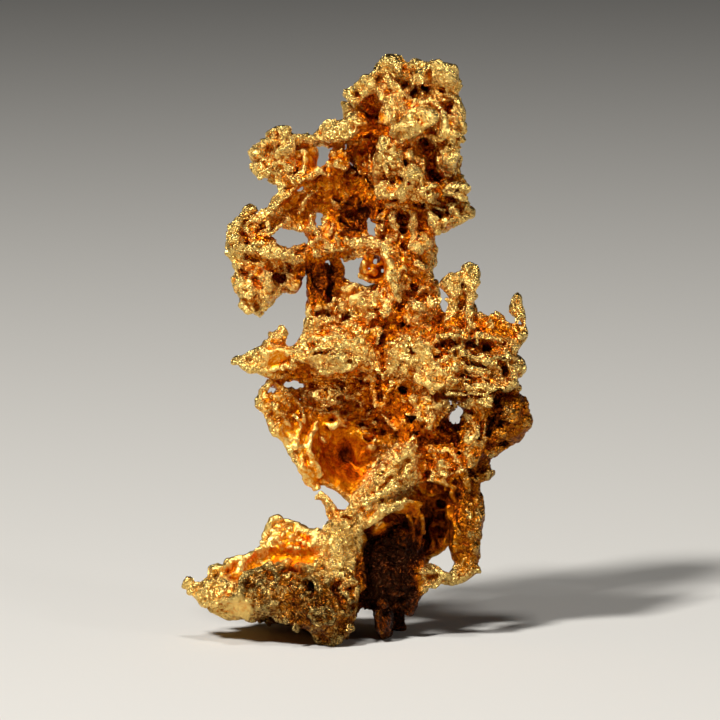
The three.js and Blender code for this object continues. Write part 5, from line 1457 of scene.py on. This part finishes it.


@dataclass
class Specimen:
    """The whole growth: its field, its parts, and the pieces made of it."""

    display: Display
    parts: tuple[Part, ...]
    relief: Relief = Relief()
    toning: Toning = Toning()
    soften: float = 0.24  # spread of the first smoothing, which melts the solid's facets, mm
    wander: float = 0.1  # how far the field wanders sideways, mm
    wander_span: float = 2.6  # length of that wave, mm
    ripple: float = 0.35  # share of a finer wave that is added to it
    ripple_finer: float = 2.2  # how many times finer that is
    wander_band: float = 1.0  # distance from the skin within which it wanders, mm
    relief_band: float = 0.8  # distance from the skin within which the relief is added, mm
    thin: float = 0.6  # spread within which the share of gold tells how thin a sheet is, mm
    thin_from: float = 0.46  # share under which it counts as thin
    thin_fade: float = 0.16  # how far under that it counts as fully thin
    thin_loses: float = 0.5  # share of its relief that a thin sheet loses
    thin_gains: float = 0.08  # how far its skin is moved out, mm

    def field_of(self, node: bpy.types.Object, voxel: float) -> GrowthField:
        """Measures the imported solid.

        Args:
            node: The solid's object, in metres at the origin.
            voxel: Spacing of the field in mm.

        Returns:
            Its field of distances in the display plane.
        """
        mesh = node.data
        corners = np.empty(len(mesh.vertices) * 3, np.float32)
        mesh.vertices.foreach_get("co", corners)
        mesh.calc_loop_triangles()
        triangles = np.empty(len(mesh.loop_triangles) * 3, np.int32)
        mesh.loop_triangles.foreach_get("vertices", triangles)
        flat = self.display.from_row(corners.reshape(-1, 3).astype(float))
        return GrowthField(flat, triangles.reshape(-1, 3), voxel)

    def grow(self, growth: GrowthField, grains: Grains) -> None:
        """Turns the plain solid into the specimen: strokes, wandering, relief and a flat base.

        Args:
            growth: Field of the solid, changed in place.
            grains: Noise.
        """
        growth.depth = softened(growth.depth, self.soften / growth.voxel)
        front = growth.front()
        for part in self.parts:
            strokes = part.drawn()
            done = sum(stroke.apply(growth, front, grains) for stroke in strokes)
            LOG.info("%s: %d of %d strokes", part.name, done, len(strokes))
        index, places = growth.band(self.wander_band)
        waves = (grains.wave, grains.wave_b, grains.wave_c, grains.wave)
        push = np.stack([wave.at(places, self.wander_span) for wave in waves[:3]], -1)
        fine = self.wander_span / self.ripple_finer
        push += self.ripple * np.stack([wave.at(places, fine, 0.5) for wave in waves[1:]], -1)
        growth.wander(self.wander * push, index, places)
        index, places = growth.band(self.relief_band)
        share = softened(growth.filled(), self.thin / growth.voxel).ravel()[index]
        thin = np.clip((self.thin_from - share) / self.thin_fade, 0, 1)
        height = self.relief.height(places, self.rule(places), grains)
        growth.depth.ravel()[index] -= height * (1 - self.thin_loses * thin) + self.thin_gains * thin
        axes = growth.axes()
        lean = self.display.lean
        height = axes[1] * math.cos(lean) + axes[2] * math.sin(lean)
        growth.depth = np.maximum(growth.depth, -height.astype(np.float32))

    def rule(self, places: np.ndarray) -> Rule:
        """Which habit rules at each place, over the patches of all parts."""
        return Rule.over(places, [patch for part in self.parts for patch in part.patches()])

    def skin_of(self, growth: GrowthField) -> Skin:
        """Takes the skin out of the field and works its tone, painted shade and crispness out.

        Args:
            growth: Finished field.

        Returns:
            The skin, with normals that point outwards.
        """
        points, quads = growth.skin()
        normals = vertex_normals(points, quads)
        off = np.float32(growth.voxel) * normals
        inwards = growth.sample(points + off) < growth.sample(points - off)
        if inwards.mean() > 0.5:
            quads = quads[:, ::-1]
            normals = -normals
        quads = largest_body(points, quads)
        toning, filled = self.toning, growth.filled()
        at = points / growth.voxel - growth.low
        near = between(softened(filled, toning.near / growth.voxel), at) - 0.5
        every = toning.coarse
        coarse = softened(filled[::every, ::every, ::every], toning.far / growth.voxel / every)
        far = between(coarse, at / every) - 0.5
        rule = self.rule(points)
        # The tone paints shade into crevices and hollows, and the deep orange of light bounced between gold
        # faces.
        tone = toning.base + toning.crevice * near + toning.hollow * far + toning.warmth * rule.warmth
        tone += toning.slit * np.maximum(near - toning.slit_from, 0)
        LOG.info("tone: %s", np.percentile(tone, [5, 25, 50, 75, 95]).round(2))
        warm = np.clip(2 * rule.warmth - 1, 0, 1)
        crisp = 1 - toning.smooth * rule.shares[Habit.SMOOTH] - toning.warm * warm * (1 - rule.painted_shade_share)
        tone = np.clip(tone, toning.least, toning.most)
        return Skin(points, quads, normals, tone, rule.painted_shade_share, crisp)

    def piece(
        self, name: str, skin: Skin, quads: np.ndarray, gold: bpy.types.Material
    ) -> bpy.types.Object:
        """Makes a piece: its quads in metres and its attributes.

        It meets its neighbours vertex to vertex, with the same normals, so no seam shows.

        Args:
            name: Its name.
            skin: Skin that it is a share of.
            quads: Its quads.
            gold: Its material.

        Returns:
            The object.
        """
        used, index = np.unique(quads, return_inverse=True)
        index = index.reshape(-1, 4)
        row = self.display.to_row(skin.points[used].astype(float))
        origin = self.display.to_row(np.zeros((1, 3)))
        normals = (self.display.to_row(skin.normals[used].astype(float)) - origin) / MM
        mesh = bpy.data.meshes.new(name)
        mesh.vertices.add(len(used))
        mesh.vertices.foreach_set("co", row.astype(np.float32).ravel())
        mesh.loops.add(index.size)
        mesh.loops.foreach_set("vertex_index", index.astype(np.int32).ravel())
        mesh.polygons.add(len(index))
        mesh.polygons.foreach_set("loop_start", np.arange(0, index.size, 4, dtype=np.int32))
        mesh.update(calc_edges=True)
        mesh.validate()
        for key in ("tone", "painted_shade", "crisp"):
            layer = mesh.attributes.new(key, "FLOAT", "POINT")
            layer.data.foreach_set("value", getattr(skin, key)[used].astype(np.float32))
        mesh.polygons.foreach_set("use_smooth", np.ones(len(mesh.polygons), bool))
        mesh.normals_split_custom_set_from_vertices(normals.astype(np.float32))
        mesh.materials.append(gold)
        piece = bpy.data.objects.new(name, mesh)
        bpy.context.scene.collection.objects.link(piece)
        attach(piece, BODY)
        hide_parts(NODE)
        return piece

    def build(self, node: bpy.types.Object, gold: bpy.types.Material, voxel: float) -> None:
        """Grows the specimen and makes its pieces, part by part.

        Args:
            node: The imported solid.
            gold: Material of every piece.
            voxel: Spacing of the field in mm.
        """
        growth = self.field_of(node, voxel)
        grains = Grains(np.random.default_rng(SEED))
        self.grow(growth, grains)
        skin = self.skin_of(growth)
        total = 0
        for name, quads in skin.split(self.parts).items():
            piece = self.piece(name, skin, quads, gold)
            piece.data.calc_loop_triangles()
            count = len(piece.data.loop_triangles)
            total += count
            LOG.info("%s: %d triangles", name, count)
        LOG.info("all pieces: %d triangles", total)


# ---------------------------------------------------------------------------------------------
# Studio


def set_up(name: str, data: bpy.types.ID, place: Vector, back: Vector) -> bpy.types.Object:
    """Sets a light or a camera up.

    Args:
        name: Its name.
        data: The light or the camera.
        place: Where it stands, in metres.
        back: Direction that it looks away from.

    Returns:
        Its object, in the scene.
    """
    rig = bpy.data.objects.new(name, data)
    rig.location = place
    rig.rotation_euler = back.to_track_quat("Z", "Y").to_euler()
    bpy.context.scene.collection.objects.link(rig)
    return rig


@dataclass(frozen=True)
class SoftBox:
    """Square soft light that looks at the specimen's middle. Distances are metres."""

    name: str
    azimuth: float  # degrees round from the front, to the right
    elevation: float  # degrees over the floor
    distance: float
    side: float
    power: float

    def place(self, aim: Vector) -> None:
        """Hangs the light.

        Args:
            aim: Place that it faces, in metres.
        """
        lamp = bpy.data.lights.new(self.name, "AREA")
        lamp.size = self.side
        lamp.energy = self.power
        turn, rise = math.radians(self.azimuth), math.radians(self.elevation)
        level = math.cos(rise)
        away = Vector((math.sin(turn) * level, -math.cos(turn) * level, math.sin(rise)))
        set_up(self.name, lamp, aim + away * self.distance, away)


@dataclass(frozen=True)
class Studio:
    """Pale paper floor, soft boxes and a long lens square to the display plane."""

    floor_side: float = 3.0  # metres
    paper: str = "#D8D4CC"
    paper_roughness: float = 0.9
    ambient: float = 0.01
    lens: float = 300.0  # mm
    sensor: float = 36.0  # mm
    frame: float = 0.072  # width of the view at the specimen, metres
    aim: tuple[float, float, float] = (0.0, 28.0, 0.0)  # centre of the view, display mm
    boxes: tuple[SoftBox, ...] = (
        SoftBox("key", -38, 48, 0.9, 0.12, 9.0),
        SoftBox("fill", 50, 15, 0.9, 0.1, 0.8),
        SoftBox("top", 5, 72, 1.0, 0.14, 3.0),
    )

    def lay_floor(self) -> None:
        """Lays the floor at height zero."""
        half = self.floor_side / 2
        mesh = bpy.data.meshes.new("studio_floor")
        corners = [(-half, -half, 0), (half, -half, 0), (half, half, 0), (-half, half, 0)]
        mesh.from_pydata(corners, [], [(0, 1, 2, 3)])
        paper = bpy.data.materials.new("matte_paper")
        paper.use_nodes = True
        sheet = paper.node_tree.nodes["Principled BSDF"]
        sheet.inputs["Base Color"].default_value = linear(self.paper)
        sheet.inputs["Roughness"].default_value = self.paper_roughness
        mesh.materials.append(paper)
        floor = bpy.data.objects.new("studio_floor", mesh)
        bpy.context.scene.collection.objects.link(floor)

    def light(self, aim: Vector) -> None:
        """Hangs the soft boxes and sets the ambient light.

        Args:
            aim: Place that the boxes face, in metres.
        """
        world = bpy.data.worlds.new("studio")
        world.use_nodes = True
        sky = world.node_tree.nodes["Background"]
        sky.inputs["Color"].default_value = linear("#FFFFFF")
        sky.inputs["Strength"].default_value = self.ambient
        bpy.context.scene.world = world
        for box in self.boxes:
            box.place(aim)

    def shoot(self, aim: Vector, lean: float) -> None:
        """Sets the camera up, square to the display plane.

        Args:
            aim: Centre of the view, in metres.
            lean: Angle by which the display plane leans back, in radians.
        """
        camera = bpy.data.cameras.new("camera")
        camera.lens = self.lens
        camera.sensor_width = self.sensor
        back = Vector((0, -math.cos(lean), math.sin(lean)))
        distance = self.frame * self.lens / self.sensor
        scene = bpy.context.scene
        scene.camera = set_up("camera", camera, aim + back * distance, back)
        scene.view_settings.view_transform = "Standard"

    def build(self, display: Display) -> None:
        """Lays the floor, hangs the lights and sets the camera up.

        Args:
            display: Plane that the specimen is shown in.
        """
        aim = Vector(display.to_row(np.array([self.aim]))[0])
        self.lay_floor()
        self.light(aim)
        self.shoot(aim, display.lean)


def main() -> None:
    """Builds the specimen and its studio."""
    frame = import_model()
    display = Display()
    voxel = VOXEL
    specimen = Specimen(display, PARTS)
    specimen.build(frame["nodes"][NODE], NativeGold().material(), voxel)
    Studio().build(display)


if __name__ == "__main__":
    logging.basicConfig(level=logging.INFO, format="%(message)s")
    main()
